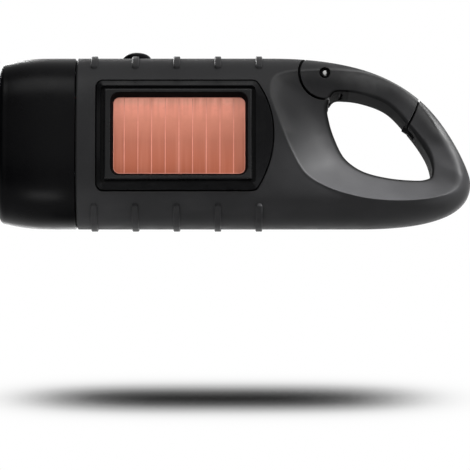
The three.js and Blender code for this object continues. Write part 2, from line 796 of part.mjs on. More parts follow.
// Reflector: a flange and three cups in a column, each with a throat for its lamp
function reflector() {
  const flange = sectionBar(reflectorStart, reflectorStart + flangeThickness, headWall + fitGap);
  const cups = cupPlaces.map((z) => cylinderX(0, z, cupMouthRadius + cupWall,
    reflectorStart, reflectorStart + cupDepth, smallPoints));
  const bowls = cupPlaces.map((z) => {
    const profile = [[0, -cutOverrun], [cupMouthRadius, -cutOverrun],
      ...cupCurveShares.map(([along, out]) => [cupMouthRadius * out, cupDepth * along]),
      [cupThroatRadius, cupDepth + cutOverrun], [0, cupDepth + cutOverrun]];
    const geometry = lathe(profile, smallPoints);
    geometry.rotateY(degrees(quarterTurn));
    geometry.translate(reflectorStart, 0, z);
    return toSolid(geometry);
  });
  return cut(join([flange, ...cups]), bowls);
}

const ledBoard = () => sectionBar(ledBoardStart, ledBoardStart + ledBoardThickness,
  headWall + fitGap);

function led(z) {
  const profile = [];
  for (let i = 0; i <= domeSteps; i += 1) {
    const angle = degrees(quarterTurn * i / domeSteps);
    profile.push([ledRadius * Math.sin(angle), -ledRadius * Math.cos(angle)]);
  }
  profile.push([ledRadius, ledLength - ledRadius], [0, ledLength - ledRadius]);
  const geometry = lathe(profile, smallPoints);
  geometry.rotateY(degrees(quarterTurn));
  geometry.translate(ledBoardStart - ledSeatGap - ledLength + ledRadius, 0, z);
  return toSolid(geometry);
}

// Shells: what both halves share before they part along the middle
const halfSpace = (side) => {
  const low = side < 0 ? -throughDepth : seamGap / 2;
  const high = side < 0 ? -seamGap / 2 : throughDepth;
  return box(-cutOverrun, bodyLength + cutOverrun, low, high,
    -bodyHalfHeight - cutOverrun, bodyHalfHeight + cutOverrun);
};

const innerRoom = (gap) => sectionBar(bodyStart + neckOverlap - gap, hollowEnd - gap, wall + gap);

const screwPlaces = housingScrewShares.map(([along, up]) => new THREE.Vector2(
  along * bodyLength, up * bodyHalfHeight));
const gripScrewPlaces = screwPlaces.slice(0, -1);
const tailScrewPlace = screwPlaces[screwPlaces.length - 1];
const screwTop = (place) => (place === tailScrewPlace ? tailScrewY : deckPlane - housingScrewSink);
const screwEnd = (place) => screwTop(place) - housingScrewHeadThickness - housingScrewLength;

const postPlaces = postPlaceShares.map(([along, up]) => new THREE.Vector2(
  firstCentre.x + along * firstWheelRadius, firstCentre.y + up * firstWheelRadius));

function screwHoles(place) {
  const top = screwTop(place);
  return join([
    cylinderY(place, housingScrewRadius + screwClearance, screwEnd(place) - fitGap, top, smallPoints),
    cylinderY(place, housingScrewHeadRadius + fitGap,
      top - housingScrewHeadThickness - screwClearance, throughDepth),
  ]);
}

const buttonHole = cylinderZ(buttonX, 0, buttonRadius + fitGap, buttonFlangeLow,
  bodyHalfHeight + cutOverrun);

function neck() {
  return sectionBar(neckStart, bodyStart + neckOverlap, headWall + fitGap)
    .add(sectionBar(bodyStart + grooveChamfer, bodyStart + neckOverlap, neckWeb));
}

const neckBore = () => sectionBar(neckStart - cutOverrun, bodyStart + neckOverlap + wall,
  headWall + fitGap + neckWall);

function frontShell() {
  const room = join([neckBore(), innerRoom(0)]).subtract(prism(
    outlineShape(frameOutline(wall)), -throughDepth, -pocketFloor + pocketWall));
  const bosses = gripScrewPlaces.map((place) => cylinderY(place, bossRadius,
    -bossFloor - wall, -seamGap / 2));
  const shelves = [boardStartX + shelfInset, boardEndX - shelfInset - shelfWidth].map(
    (x) => box(x, x + shelfWidth, boardFront - shelfInset, boardFront + shelfReach,
      boardLow - fitGap - shelfThickness, boardLow - fitGap));
  const inside = join([...bosses, ...shelves]).intersect(innerRoom(-rootDepth));
  const pocket = prism(outlineShape(frameOutline(fitGap)), -throughDepth, -pocketFloor);
  const skin = join([carvedBlank, neck(), gripRibs()]).subtract(room);
  return cut(skin.add(inside).intersect(halfSpace(-1)), [
    pocket, gateRelief, gatePinHole, buttonHole, ...screwPlaces.map(screwHoles),
    ...[0, 1].map((i) => cylinderY(solarLeadPlace(i), leadRadius + leadHoleGap,
      -throughDepth, -pocketFloor + pocketWall + fitGap, smallPoints)),
  ]);
}

// Space that the crank arm sweeps over the back, down to the deck
const sweepSpace = cylinderY(crankCentre, sweepRadius, deckPlane, throughDepth, sweepPoints)
  .add(box(crankX, bodyLength + cutOverrun, deckPlane, throughDepth,
    -bodyHalfHeight - cutOverrun, bodyHalfHeight + cutOverrun));

const deckInside = deckPlane - wall;
const bushingRadius = shaftRadius + fitGap + bushingWall;

function backShell() {
  const gearRoom = cylinderY(crankCentre, driveRadius + driveModule + shaftHeadThickness,
    driveLow - shaftHeadThickness, deckInside, finePoints);
  const deckRoom = box(neckStart + neckWall, bodyLength, deckInside, throughDepth,
    -bodyHalfHeight, bodyHalfHeight);
  const room = join([neckBore(), innerRoom(0).add(gearRoom)]).subtract(deckRoom);
  const bosses = gripScrewPlaces.map((place) => cylinderY(place, bossRadius,
    seamGap / 2, deckInside + rootDepth));
  const inside = join(bosses).intersect(innerRoom(-rootDepth));
  const posts = join(postPlaces.map((place) => cylinderY(place, postRadius,
    plateTop + fitGap, deckInside + rootDepth)));
  const skin = join([carvedBlank, neck(), gripRibs()]).subtract(room);
  const half = skin.add(inside).intersect(halfSpace(1)).add(posts);
  return cut(half, [
    sweepSpace, gateRelief, gatePinHole, buttonHole, ...screwPlaces.map(screwHoles),
    cylinderY(crankCentre, bushingRadius + fitGap, deckInside - wall, throughDepth),
    ...postPlaces.map((place) => cylinderY(place, plateScrewRadius + screwClearance,
      plateTop, plateTop + plateScrewLength, smallPoints)),
  ]);
}

// Gate of the carabiner: two cheeks on the lug, an arm and a tongue at its end
function gateArm() {
  const arm = carvedBlank.intersect(gateOutline(0, gateLowAngle));
  const tongue = carvedBlank.intersect(tongueOutline(0, 0, 0));
  const slot = cylinderY(gatePivot, gateRootRadius + fitGap, -lugHalfDepth - gateGap,
    lugHalfDepth + gateGap, finePoints);
  return cut(arm.add(tongue), [slot, sweepSpace,
    cylinderY(gatePivot, pinRecessRadius, -throughDepth, -pinHalfLength),
    cylinderY(gatePivot, pinRecessRadius, pinHalfLength, throughDepth),
    cylinderY(gatePivot, gatePinRadius + gatePinClearance, -throughDepth, throughDepth)]);
}

const gatePin = () => cylinderY(gatePivot, gatePinRadius, -pinHalfLength, pinHalfLength);

function ringY(centre, innerRadius, outerRadius, low, high, sides = roundPoints) {
  return cylinderY(centre, outerRadius, low, high, sides)
    .subtract(cylinderY(centre, innerRadius, low - cutOverrun, high + cutOverrun, sides));
}

const gateSpring = () => ringY(gatePivot, springInnerRadius, springOuterRadius,
  -springHalfLength, springHalfLength);

// Gear wheel with straight-sided teeth and running clearance
function gear(centre, teeth, module, low, high, phase) {
  const radius = teeth * module / 2;
  const tipRadius = radius + module * toothTipShare;
  const rootRadius = radius - module * toothRootShare;
  const pitch = fullTurn / teeth;
  const outline = [];
  for (let i = 0; i < teeth; i += 1) {
    const middle = phase + pitch * i;
    outline.push(polar(centre, rootRadius, middle - pitch * toothFootWidthShare));
    outline.push(polar(centre, tipRadius, middle - pitch * toothTipWidthShare));
    outline.push(polar(centre, tipRadius, middle + pitch * toothTipWidthShare));
    outline.push(polar(centre, rootRadius, middle + pitch * toothFootWidthShare));
  }
  return prism(outlineShape(outline), low, high);
}

// Angle from one shaft to the next, and the phase that puts a gap there
const angleTo = (from, to) => THREE.MathUtils.radToDeg(Math.atan2(to.y - from.y, to.x - from.x));
const gapAt = (angle, teeth) => angle + halfTurn / teeth;

const driveGear = () => gear(crankCentre, driveTeeth, driveModule, driveLow, driveHigh,
  angleTo(crankCentre, firstCentre))
  .subtract(cylinderY(crankCentre, shaftRadius + fitGap, driveLow - cutOverrun,
    driveHigh + cutOverrun));

const firstIdler = () => gear(firstCentre, firstPinionTeeth, driveModule, firstPinionLow, driveHigh,
  gapAt(angleTo(firstCentre, crankCentre), firstPinionTeeth))
  .add(gear(firstCentre, firstWheelTeeth, firstWheelModule, firstWheelLow, firstPinionLow,
    angleTo(firstCentre, secondCentre)))
  .subtract(cylinderY(firstCentre, idlerPinRadius + idlerBoreGap, firstWheelLow - cutOverrun,
    driveHigh + cutOverrun));

const secondIdler = () => gear(secondCentre, secondPinionTeeth, firstWheelModule, secondPinionLow,
  secondPinionHigh, gapAt(angleTo(secondCentre, firstCentre), secondPinionTeeth))
  .add(gear(secondCentre, secondWheelTeeth, secondWheelModule, secondWheelLow, secondPinionLow,
    angleTo(secondCentre, rotorCentre)))
  .subtract(cylinderY(secondCentre, idlerPinRadius + idlerBoreGap, secondWheelLow - cutOverrun,
    secondPinionHigh + cutOverrun));

const rotorPinion = () => gear(rotorCentre, rotorPinionTeeth, secondWheelModule, rotorPinionLow,
  rotorPinionHigh, gapAt(angleTo(rotorCentre, secondCentre), rotorPinionTeeth))
  .subtract(cylinderY(rotorCentre, rotorShaftRadius + screwClearance, rotorPinionLow - cutOverrun,
    rotorPinionHigh + cutOverrun));

// Convex outline round a list of discs
function hullOutline(discs) {
  const points = discs.flatMap(({ place, radius }) => Array.from(
    { length: roundPoints }, (_, i) => polar(place, radius, fullTurn * i / roundPoints)));
  points.sort((one, other) => one.x - other.x || one.y - other.y);
  const turn = (a, b, c) => (b.x - a.x) * (c.y - a.y) - (b.y - a.y) * (c.x - a.x);
  const chain = (list) => {
    const kept = [];
    for (const point of list) {
      while (kept.length > 1 && turn(kept[kept.length - 2], kept[kept.length - 1], point) <= 0) {
        kept.pop();
      }
      kept.push(point);
    }
    return kept.slice(0, -1);
  };
  return outlineShape([...chain(points), ...chain(points.slice().reverse())]);
}

const plateBottom = plateTop - plateThickness;

function gearPlate() {
  const discs = [...postPlaces.map((place) => ({ place, radius: plateRim })),
    { place: secondCentre, radius: plateRimWide }, { place: rotorCentre, radius: plateRimWide }];
  return cut(prism(hullOutline(discs), plateBottom, plateTop), [
    ...[firstCentre, secondCentre].map((place) => cylinderY(place, idlerPinRadius + fitGap,
      plateBottom - cutOverrun, plateTop + cutOverrun)),
    cylinderY(rotorCentre, rotorShaftRadius + fitGap, plateBottom - cutOverrun,
      plateTop + cutOverrun),
    ...postPlaces.map((place) => cylinderY(place, plateScrewRadius + screwClearance,
      plateBottom - cutOverrun, plateTop + cutOverrun, smallPoints)),
  ]);
}

// Pan-headed screw along y: shank from low to the head, whose outer face is at top
function screwY(place, shankRadius, headRadius, low, top, headThickness, facing) {
  const head = facing > 0
    ? cylinderY(place, headRadius, top - headThickness, top)
    : cylinderY(place, headRadius, top, top + headThickness);
  const shank = facing > 0
    ? cylinderY(place, shankRadius, low, top - headThickness / 2, smallPoints)
    : cylinderY(place, shankRadius, top + headThickness / 2, low, smallPoints);
  const slot = facing > 0
    ? box(place.x - headRadius, place.x + headRadius, top - headThickness / 2, top + cutOverrun,
      place.y - headThickness / 4, place.y + headThickness / 4)
    : box(place.x - headRadius, place.x + headRadius, top - cutOverrun, top + headThickness / 2,
      place.y - headThickness / 4, place.y + headThickness / 4);
  const cross = facing > 0
    ? box(place.x - headThickness / 4, place.x + headThickness / 4, top - headThickness / 2,
      top + cutOverrun, place.y - headRadius / 2, place.y + headRadius / 2)
    : null;
  const screw = head.add(shank);
  return cross === null ? screw.subtract(slot) : screw.subtract(
    slot.intersect(cylinderY(place, headRadius / 2, low, top + cutOverrun))).subtract(cross);
}

const housingScrew = (place) => screwY(place, housingScrewRadius, housingScrewHeadRadius,
  screwEnd(place), screwTop(place), housingScrewHeadThickness, 1);

const plateScrew = (place) => screwY(place, plateScrewRadius, plateScrewHeadRadius,
  plateTop + plateScrewLength - fitGap, plateBottom - screwClearance - plateScrewHeadThickness,
  plateScrewHeadThickness, -1);

// Dynamo: an open can under the gear plate with a coil, and a magnet rotor on its shaft
const canTop = plateBottom - fitGap;
const canBottom = canTop - dynamoLength;

const dynamoCan = () => cylinderY(rotorCentre, dynamoRadius, canBottom, canTop)
  .subtract(cylinderY(rotorCentre, dynamoRadius - dynamoWall, canBottom + dynamoWall,
    canTop + cutOverrun))
  .subtract(cylinderY(rotorCentre, rotorShaftRadius + fitGap, canBottom - cutOverrun, canTop));

const coilLow = (canBottom + canTop + dynamoWall - coilLength) / 2;

const statorCoil = () => ringY(rotorCentre, dynamoRadius - dynamoWall - fitGap - coilWidth,
  dynamoRadius - dynamoWall - fitGap, coilLow, coilLow + coilLength);

const magnetRotor = () => cylinderY(rotorCentre, rotorRadius, coilLow, coilLow + coilLength)
  .add(cylinderY(rotorCentre, rotorShaftRadius, canBottom, rotorPinionHigh, smallPoints));

const idlerPin = (centre, top) => cylinderY(centre, idlerPinRadius, plateBottom, top, smallPoints);

// Crank: shaft with a head behind the drive gear, bushing, arm and centre screw
const shaftTop = armStart + shaftGrip;

const crankShaft = () => cylinderY(crankCentre, shaftRadius, driveLow - fitGap, shaftTop)
  .add(cylinderY(crankCentre, shaftHeadRadius, driveLow - fitGap - shaftHeadThickness,
    driveLow - fitGap))
  .subtract(cylinderY(crankCentre, crankScrewRadius + screwClearance,
    crankScrewTop - crankScrewHeadThickness - crankScrewLength - fitGap, shaftTop + cutOverrun,
    smallPoints));

const crankBushing = () => ringY(crankCentre, shaftRadius + fitGap, bushingRadius,
  deckInside - fitGap, deckPlane + fitGap);

const crankScrew = () => screwY(crankCentre, crankScrewRadius, crankScrewHeadRadius,
  crankScrewTop - crankScrewHeadThickness - crankScrewLength, crankScrewTop,
  crankScrewHeadThickness, 1);

function crankArm() {
  const end = new THREE.Vector2(crankX - armReach + armHalfWidth, 0);
  const outline = hullOutline([{ place: crankCentre, radius: armHubRadius },
    { place: end, radius: armHalfWidth }]);
  const half = knobRadius + slotSideGap;
  const slot = box(knobPinX - spindleEyeRadius - fitGap, knobPinX + knobEnd + slotEndGap,
    armStart - cutOverrun, armEnd + cutOverrun, -half, half);
  return cut(prism(outline, armStart, armEnd), [
    slot,
    cylinderZ(knobPinX, knobAxisY, knobPinRadius + fitGap, -throughDepth, throughDepth, smallPoints),
    cylinderY(crankCentre, shaftRadius + fitGap, armStart - cutOverrun, shaftTop + fitGap),
    cylinderY(crankCentre, crankScrewRadius + fitGap, armStart, armEnd, smallPoints),
    cylinderY(crankCentre, crankScrewHeadRadius + fitGap,
      crankScrewTop - crankScrewHeadThickness - screwClearance, armEnd + cutOverrun),
  ]);
}

const knobPin = () => cylinderZ(knobPinX, knobAxisY, knobPinRadius, -knobPinHalfLength,
  knobPinHalfLength, smallPoints);

// Spindle of the knob: an eye on the pin, a stem and a head inside the knob's far end
const spindleEnd = knobEnd - spindleHeadInset;

const knobSpindle = () => join([
  cylinderZ(knobPinX, knobAxisY, spindleEyeRadius, -spindleEyeHalfWidth, spindleEyeHalfWidth),
  cylinderX(knobAxisY, 0, spindleRadius, knobPinX, knobPinX + spindleEnd, smallPoints),
  cylinderX(knobAxisY, 0, spindleHeadRadius, knobPinX + spindleEnd - spindleHeadThickness,
    knobPinX + spindleEnd),
]).subtract(cylinderZ(knobPinX, knobAxisY, knobPinRadius + fitGap, -throughDepth, throughDepth,
  smallPoints));

function knob() {
  const profile = [[0, knobStart], [knobRadius - knobRound, knobStart],
    [knobRadius, knobStart + knobRound], [knobRadius, knobEnd - knobRound],
    [knobRadius - knobRound, knobEnd], [0, knobEnd]];
  const geometry = lathe(profile);
  geometry.rotateY(degrees(quarterTurn));
  geometry.translate(knobPinX, knobAxisY, 0);
  return cut(toSolid(geometry), [
    cylinderX(knobAxisY, 0, spindleRadius + fitGap, knobPinX, knobPinX + knobEnd + cutOverrun),
    cylinderX(knobAxisY, 0, spindleHeadRadius + fitGap,
      knobPinX + spindleEnd - spindleHeadThickness - fitGap, knobPinX + knobEnd + cutOverrun),
  ]);
}

// Battery pack: three button cells in a row on a moulded cradle
const batteryPlace = (i) => batteryStartX + (cellLength + fitGap) * i;
const batteryEndX = batteryPlace(cellCount) - fitGap;

const batteryCell = (i) => cylinderX(batteryY, batteryZ, cellRadius, batteryPlace(i),
  batteryPlace(i) + cellLength);

function batteryCradle() {
  const block = box(batteryStartX - fitGap - cradleWall, batteryEndX + fitGap + cradleWall,
    -pocketFloor + pocketWall + fitGap, cradleTop, batteryZ - cradleHalfHeight,
    batteryZ + cradleHalfHeight);
  return block.intersect(innerRoom(fitGap)).subtract(cylinderX(batteryY, batteryZ,
    cellRadius + fitGap, batteryStartX - fitGap, batteryEndX + fitGap));
}

// Circuit board with the switch under the button
const mainBoard = () => box(boardStartX, boardEndX, boardFront, boardBack, boardLow,
  boardLow + boardThickness);

const switchLow = boardLow + boardThickness + switchSeatGap;

const switchBody = () => box(buttonX - switchSize / 2, buttonX + switchSize / 2, -switchSize / 2,
  switchSize / 2, switchLow, switchLow + switchHeight)
  .add(cylinderZ(buttonX, 0, plungerRadius, switchLow, switchLow + switchHeight + plungerHeight));

function buttonCap() {
  const domeBase = bodyHalfHeight - fitGap;
  const domeRise = buttonRise + fitGap;
  const profile = [[0, buttonFlangeLow], [buttonFlangeRadius, buttonFlangeLow],
    [buttonFlangeRadius, buttonFlangeLow + buttonFlangeThickness],
    [buttonRadius, buttonFlangeLow + buttonFlangeThickness]];
  for (let i = 0; i <= domeSteps; i += 1) {
    const angle = degrees(quarterTurn * i / domeSteps);
    profile.push([buttonRadius * Math.cos(angle), domeBase + domeRise * Math.sin(angle)]);
  }
  const geometry = lathe(profile);
  geometry.translate(buttonX, 0, 0);
  return toSolid(geometry);
}

// Leads: a thin tube along hand-set places
function lead(places) {
  const section = new THREE.Shape(Array.from({ length: leadSides }, (_, i) => polar(
    new THREE.Vector2(), leadRadius, fullTurn * i / leadSides)));
  const path = new THREE.CatmullRomCurve3(places.map(([x, y, z]) => new THREE.Vector3(x, y, z)));
  return toSolid(new THREE.ExtrudeGeometry(section, {
    extrudePath: path, steps: leadSteps, bevelEnabled: false,
  }));
}

const boardMiddle = boardLow + boardThickness / 2;
const underBoard = boardLow - fitGap;

const lampLead = (i) => {
  const y = lampLeadY - leadPitch * i;
  const start = ledBoardStart + ledBoardThickness + fitGap;
  const end = boardStartX + leadEndGap;
  return lead([[start, y, lampLeadZ], [start + leadPitch, y, lampLeadZ],
    [end - leadPitch, y, lampLeadZ], [end, y, underBoard]]);
};

const solarLeadPlace = (i) => new THREE.Vector2(solarLeadX + leadPitch * i, solarLeadZ);

const solarLead = (i) => {
  const { x, y: z } = solarLeadPlace(i);
  const floor = -pocketFloor + pocketWall;
  return lead([[x, cellThickness + fitGap - cellPlane, z], [x, floor, z],
    [x, floor + solarLeadBend, z + solarLeadBend], [x, floor + solarLeadBend, underBoard]]);
};

const dynamoLead = (i) => {
  const x = rotorCentre.x + leadPitch * (i - 1 / 2);
  const low = rotorCentre.y + dynamoRadius + fitGap;
  return lead([[x, dynamoLeadY, low], [x, dynamoLeadY, (low + underBoard) / 2],
    [x, dynamoLeadY, underBoard]]);
};

const batteryLead = (i) => {
  const end = boardEndX + fitGap;
  const y = batteryLeadY;
  if (i === 0) {
    const start = batteryStartX - fitGap;
    return lead([[start, y, batteryLeadZ], [(start + end) / 2, y, (batteryLeadZ + boardMiddle) / 2],
      [end, y, boardMiddle]]);
  }
  const start = batteryEndX + fitGap;
  const side = y + leadPitch;
  return lead([[start, side, batteryLeadZ], [start + leadPitch / 2, side, batteryLeadZ + leadPitch],
    [start, side, batteryLeadTop], [(start + end) / 2, side, batteryLeadTop],
    [end + leadPitch, side, batteryLeadTop],
    [end, side, boardMiddle + leadRadius]]);
};

// Colours and finishes of the photographed light
const finish = (color, roughness, metalness) => new THREE.MeshStandardMaterial({
  color, roughness, metalness,
});

const finishes = {
  shell: () => finish(0x2b2b2c, 0.55, 0),
  gloss: () => finish(0x141414, 0.25, 0),
  head: () => finish(0x1b1b1b, 0.42, 0),
  clear: () => finish(0xe8eef0, 0.05, 0),
  cell: () => finish(0xc87a67, 0.4, 0),
  rubber: () => finish(0x1d1d1d, 0.8, 0),
  mirror: () => finish(0xd8d8d8, 0.12, 1),
  steel: () => finish(0xb8bcc0, 0.3, 1),
  brass: () => finish(0xc9a44a, 0.35, 1),
  board: () => finish(0x1f6b3a, 0.5, 0),
  nylon: () => finish(0xe9e6da, 0.5, 0),
  copper: () => finish(0xb8683a, 0.4, 1),
  redLead: () => finish(0xa01818, 0.5, 0),
  blackLead: () => finish(0x151515, 0.5, 0),
};

const light = new THREE.Group();

function place(name, solid, finishName) {
  const mesh = new THREE.Mesh(toGeometry(solid), finishes[finishName]());
  mesh.name = name;
  light.add(mesh);
}

place('front_shell', frontShell(), 'shell');
place('back_shell', backShell(), 'shell');
place('head_bezel', headBezel(), 'head');
place('lens', lens(), 'clear');
place('lens_gasket', lensGasket(), 'rubber');
place('reflector', reflector(), 'mirror');
place('led_board', ledBoard(), 'board');
cupPlaces.forEach((z, i) => place(`led_${i + 1}`, led(z), 'clear'));
place('panel_frame', panelFrame(), 'gloss');
place('solar_cell', solarCell(), 'cell');
place('main_board', mainBoard(), 'board');
place('switch_body', switchBody(), 'steel');
place('button_cap', buttonCap(), 'gloss');
for (let i = 0; i < cellCount; i += 1) place(`battery_cell_${i + 1}`, batteryCell(i), 'steel');
place('battery_cradle', batteryCradle(), 'shell');
place('gear_plate', gearPlate(), 'steel');
postPlaces.forEach((post, i) => place(`plate_screw_${i + 1}`, plateScrew(post), 'steel'));
place('dynamo_can', dynamoCan(), 'steel');
place('stator_coil', statorCoil(), 'copper');
place('magnet_rotor', magnetRotor(), 'steel');
place('rotor_pinion', rotorPinion(), 'brass');
place('idler_pin_1', idlerPin(firstCentre, driveHigh + fitGap), 'steel');
place('idler_pin_2', idlerPin(secondCentre, secondPinionHigh + fitGap), 'steel');
place('idler_gear_1', firstIdler(), 'nylon');
place('idler_gear_2', secondIdler(), 'nylon');
place('drive_gear', driveGear(), 'nylon');
place('crank_shaft', crankShaft(), 'steel');
place('crank_bushing', crankBushing(), 'brass');
place('crank_arm', crankArm(), 'shell');
place('crank_screw', crankScrew(), 'steel');
place('knob_pin', knobPin(), 'steel');
place('knob_spindle', knobSpindle(), 'steel');
place('knob', knob(), 'head');
place('gate_arm', gateArm(), 'shell');
place('gate_pin', gatePin(), 'steel');
place('gate_spring', gateSpring(), 'steel');
screwPlaces.forEach((spot, i) => place(`housing_screw_${i + 1}`, housingScrew(spot), 'steel'));
const leads = { lamp: lampLead, solar: solarLead, dynamo: dynamoLead, battery: batteryLead };
for (const [use, route] of Object.entries(leads)) {
  ['red', 'black'].forEach((color, i) => place(`${use}_lead_${color}`, route(i), `${color}Lead`));
}

light.position.set(-bodyLength / 2, (frontReach - backReach) / 2, bodyHalfHeight + ribHeight);

export default light;
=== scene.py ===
"""Looks of a hand crank flashlight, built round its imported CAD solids.

Sizes are in millimetres, measured from the middle of the head's front rim: x runs to the
tail, y from the solar panel to the crank, z up. They are turned into the metres of the row
frame where a mesh is made. A name with turn in it holds degrees, unless it says otherwise.
"""
import json
import logging
import math
from dataclasses import dataclass
from enum import Enum
from typing import Callable, Optional, Sequence

import bmesh
import bpy
import numpy as np
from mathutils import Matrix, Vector


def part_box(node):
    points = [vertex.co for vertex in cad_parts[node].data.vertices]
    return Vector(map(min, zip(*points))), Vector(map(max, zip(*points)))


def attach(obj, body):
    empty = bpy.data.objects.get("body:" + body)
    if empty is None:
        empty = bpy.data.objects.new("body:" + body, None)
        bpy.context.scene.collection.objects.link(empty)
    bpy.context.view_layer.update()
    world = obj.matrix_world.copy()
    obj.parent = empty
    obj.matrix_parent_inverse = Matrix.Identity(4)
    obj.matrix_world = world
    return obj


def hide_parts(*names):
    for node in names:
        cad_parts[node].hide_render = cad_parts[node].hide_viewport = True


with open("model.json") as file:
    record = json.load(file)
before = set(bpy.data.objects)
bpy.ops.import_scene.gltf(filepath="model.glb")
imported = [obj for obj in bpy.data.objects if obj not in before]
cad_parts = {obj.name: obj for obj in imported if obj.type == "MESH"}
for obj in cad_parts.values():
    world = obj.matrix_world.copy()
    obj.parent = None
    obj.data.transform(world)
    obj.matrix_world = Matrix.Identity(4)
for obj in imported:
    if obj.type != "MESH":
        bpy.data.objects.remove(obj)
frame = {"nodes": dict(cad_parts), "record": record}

LOG = logging.getLogger("flashlight")
MILLIMETRE = 0.001
HOUSING = "housing"
HUB = 63.0  # place of the crank's axle along the light
PAST_X, PAST_Y, PAST_Z = 150.0, 30.0, 40.0  # where cutting tools end, past the skin
PAST_PIN = 20.0
Piece = bpy.types.Object
Points = np.ndarray
Faces = list[tuple[int, ...]]
Pair = tuple[float, float]
Triple = tuple[float, float, float]
Oblong = tuple[float, float, float, float]
Rows = Sequence[Pair]
Band = tuple[Triple, Triple, float]

HEAD_LOW, HEAD_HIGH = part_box("head_bezel")
ORIGIN = np.array([HEAD_LOW.x, 0.0, (HEAD_LOW.z + HEAD_HIGH.z) / 2])


class Side(Enum):
    """The two halves of the housing."""

    FRONT = -1
    BACK = 1


class Axis(Enum):
    """Directions of the light, by their column in a row of points."""

    ALONG = 0
    DEEP = 1
    UP = 2


class Joint(Enum):
    """What is made of two closed forms."""

    CUT = "DIFFERENCE"
    SHARE = "INTERSECT"
    UNITE = "UNION"


class Sum(Enum):
    """Operations of the math nodes."""

    ADD = "ADD"
    SUBTRACT = "SUBTRACT"
    MULTIPLY = "MULTIPLY"
    DIVIDE = "DIVIDE"
    POWER = "POWER"
    ABSOLUTE = "ABSOLUTE"
    MAXIMUM = "MAXIMUM"


def to_frame(points: Points) -> Points:
    """Turns millimetres of the light into metres of the row frame."""
    return np.asarray(points, float) * MILLIMETRE + ORIGIN


def new_piece(name: str, points: Points, faces: Faces) -> Piece:
    """Makes a mesh object from points in millimetres.

    Args:
        name: The piece's name.
        points: Array of x, y, z rows.
        faces: Corner indices of each face.

    Returns:
        The new object.
    """
    mesh = bpy.data.meshes.new(name)
    mesh.from_pydata(to_frame(points).tolist(), [], faces)
    mesh.update()
    return link_piece(name, mesh)


def link_piece(name: str, data: bpy.types.ID) -> Piece:
    """Links a mesh, a lamp or a camera to the scene as an object.

    Args:
        name: The object's name.
        data: The mesh, lamp or camera.

    Returns:
        The new object.
    """
    piece = bpy.data.objects.new(name, data)
    bpy.context.scene.collection.objects.link(piece)
    return piece


def drop(piece: Piece) -> None:
    """Removes a helper object and its mesh.

    Args:
        piece: The object.
    """
    mesh = piece.data
    bpy.data.objects.remove(piece)
    bpy.data.meshes.remove(mesh)


def seal(piece: Piece, distance: float = 0.002) -> Piece:
    """Merges doubled points and turns all faces outwards.

    Args:
        piece: Mesh object.
        distance: Merge distance in millimetres.

    Returns:
        The same object.
    """
    form = bmesh.new()
    form.from_mesh(piece.data)
    bmesh.ops.remove_doubles(form, verts=form.verts, dist=distance * MILLIMETRE)
    bmesh.ops.dissolve_degenerate(form, edges=form.edges, dist=distance * MILLIMETRE / 4)
    bmesh.ops.recalc_face_normals(form, faces=form.faces)
    form.to_mesh(piece.data)
    form.free()
    return piece


def settle(piece: Piece) -> Piece:
    """Turns a piece's modifiers into its plain mesh.

    Args:
        piece: Object with modifiers.

    Returns:
        The same object without modifiers.
    """
    graph = bpy.context.evaluated_depsgraph_get()
    made = bpy.data.meshes.new_from_object(piece.evaluated_get(graph), depsgraph=graph)
    old = piece.data
    piece.modifiers.clear()
    piece.data = made
    bpy.data.meshes.remove(old)
    return piece


def combine(piece: Piece, tools: Sequence[Piece],
            joint: Joint = Joint.CUT) -> Piece:
    """Cuts a piece with tools, or does what else is asked, and removes the tools.

    Args:
        piece: Closed mesh object.
        tools: Closed mesh objects.
        joint: What is made of the piece and the tools.

    Returns:
        The changed piece.
    """
    for tool in tools:
        modifier = piece.modifiers.new("cut", "BOOLEAN")
        modifier.operation = joint.value
        modifier.solver = "EXACT"
        modifier.object = tool
    settle(piece)
    for tool in tools:
        drop(tool)
    return piece


def merge(name: str, parts: Sequence[Piece]) -> Piece:
    """Joins objects into one mesh without cutting them.

    Args:
        name: Name of the joined object.
        parts: Mesh objects, which are removed.

    Returns:
        The joined object.
    """
    form = bmesh.new()
    for part in parts:
        form.from_mesh(part.data)
    mesh = bpy.data.meshes.new(name)
    form.to_mesh(mesh)
    form.free()
    for part in parts:
        drop(part)
    return link_piece(name, mesh)


def shade(piece: Piece, angle: float = 32.0) -> Piece:
    """Shades a piece smooth, with edges above an angle kept sharp.

    Args:
        piece: Mesh object.
        angle: Limit in degrees.

    Returns:
        The same object.
    """
    piece.data.shade_smooth()
    piece.data.set_sharp_from_angle(angle=math.radians(angle))
    return piece


def grid_faces(rows: int, columns: int, start: int = 0, closed: bool = False) -> Faces:
    """Quads between rows of points.

    Args:
        rows: Number of rows.
        columns: Points in each row.
        start: Index of the first point.
        closed: Whether each row is a ring.

    Returns:
        The faces.
    """
    faces = []
    for row in range(rows - 1):
        for column in range(columns if closed else columns - 1):
            after = (column + 1) % columns
            here = start + row * columns
            faces.append((here + column, here + after,
                          here + columns + after, here + columns + column))
    return faces


def loft(name: str, rings: Sequence[Points], caps: bool = True,
         closed: bool = False) -> Piece:
    """Skins rings of equal count.

    Args:
        name: The piece's name.
        rings: Arrays of x, y, z rows.
        caps: Whether the two ends are filled.
        closed: Whether the last ring joins the first.

    Returns:
        The sealed piece.
    """
    count = len(rings[0])
    points = np.concatenate(rings)
    faces = grid_faces(len(rings), count, closed=True)
    last = (len(rings) - 1) * count
    if closed:
        faces += [(last + i, last + (i + 1) % count, (i + 1) % count, i) for i in range(count)]
    elif caps:
        faces.append(tuple(range(count)))
        faces.append(tuple(last + i for i in reversed(range(count))))
    return seal(new_piece(name, points, faces))


def at_depth(outline: Points, depth: float) -> Points:
    """Places an outline of x, z rows at a depth in front of the middle plane."""
    outline = np.asarray(outline, float)
    return np.column_stack([outline[:, 0], np.full(len(outline), -depth), outline[:, 1]])


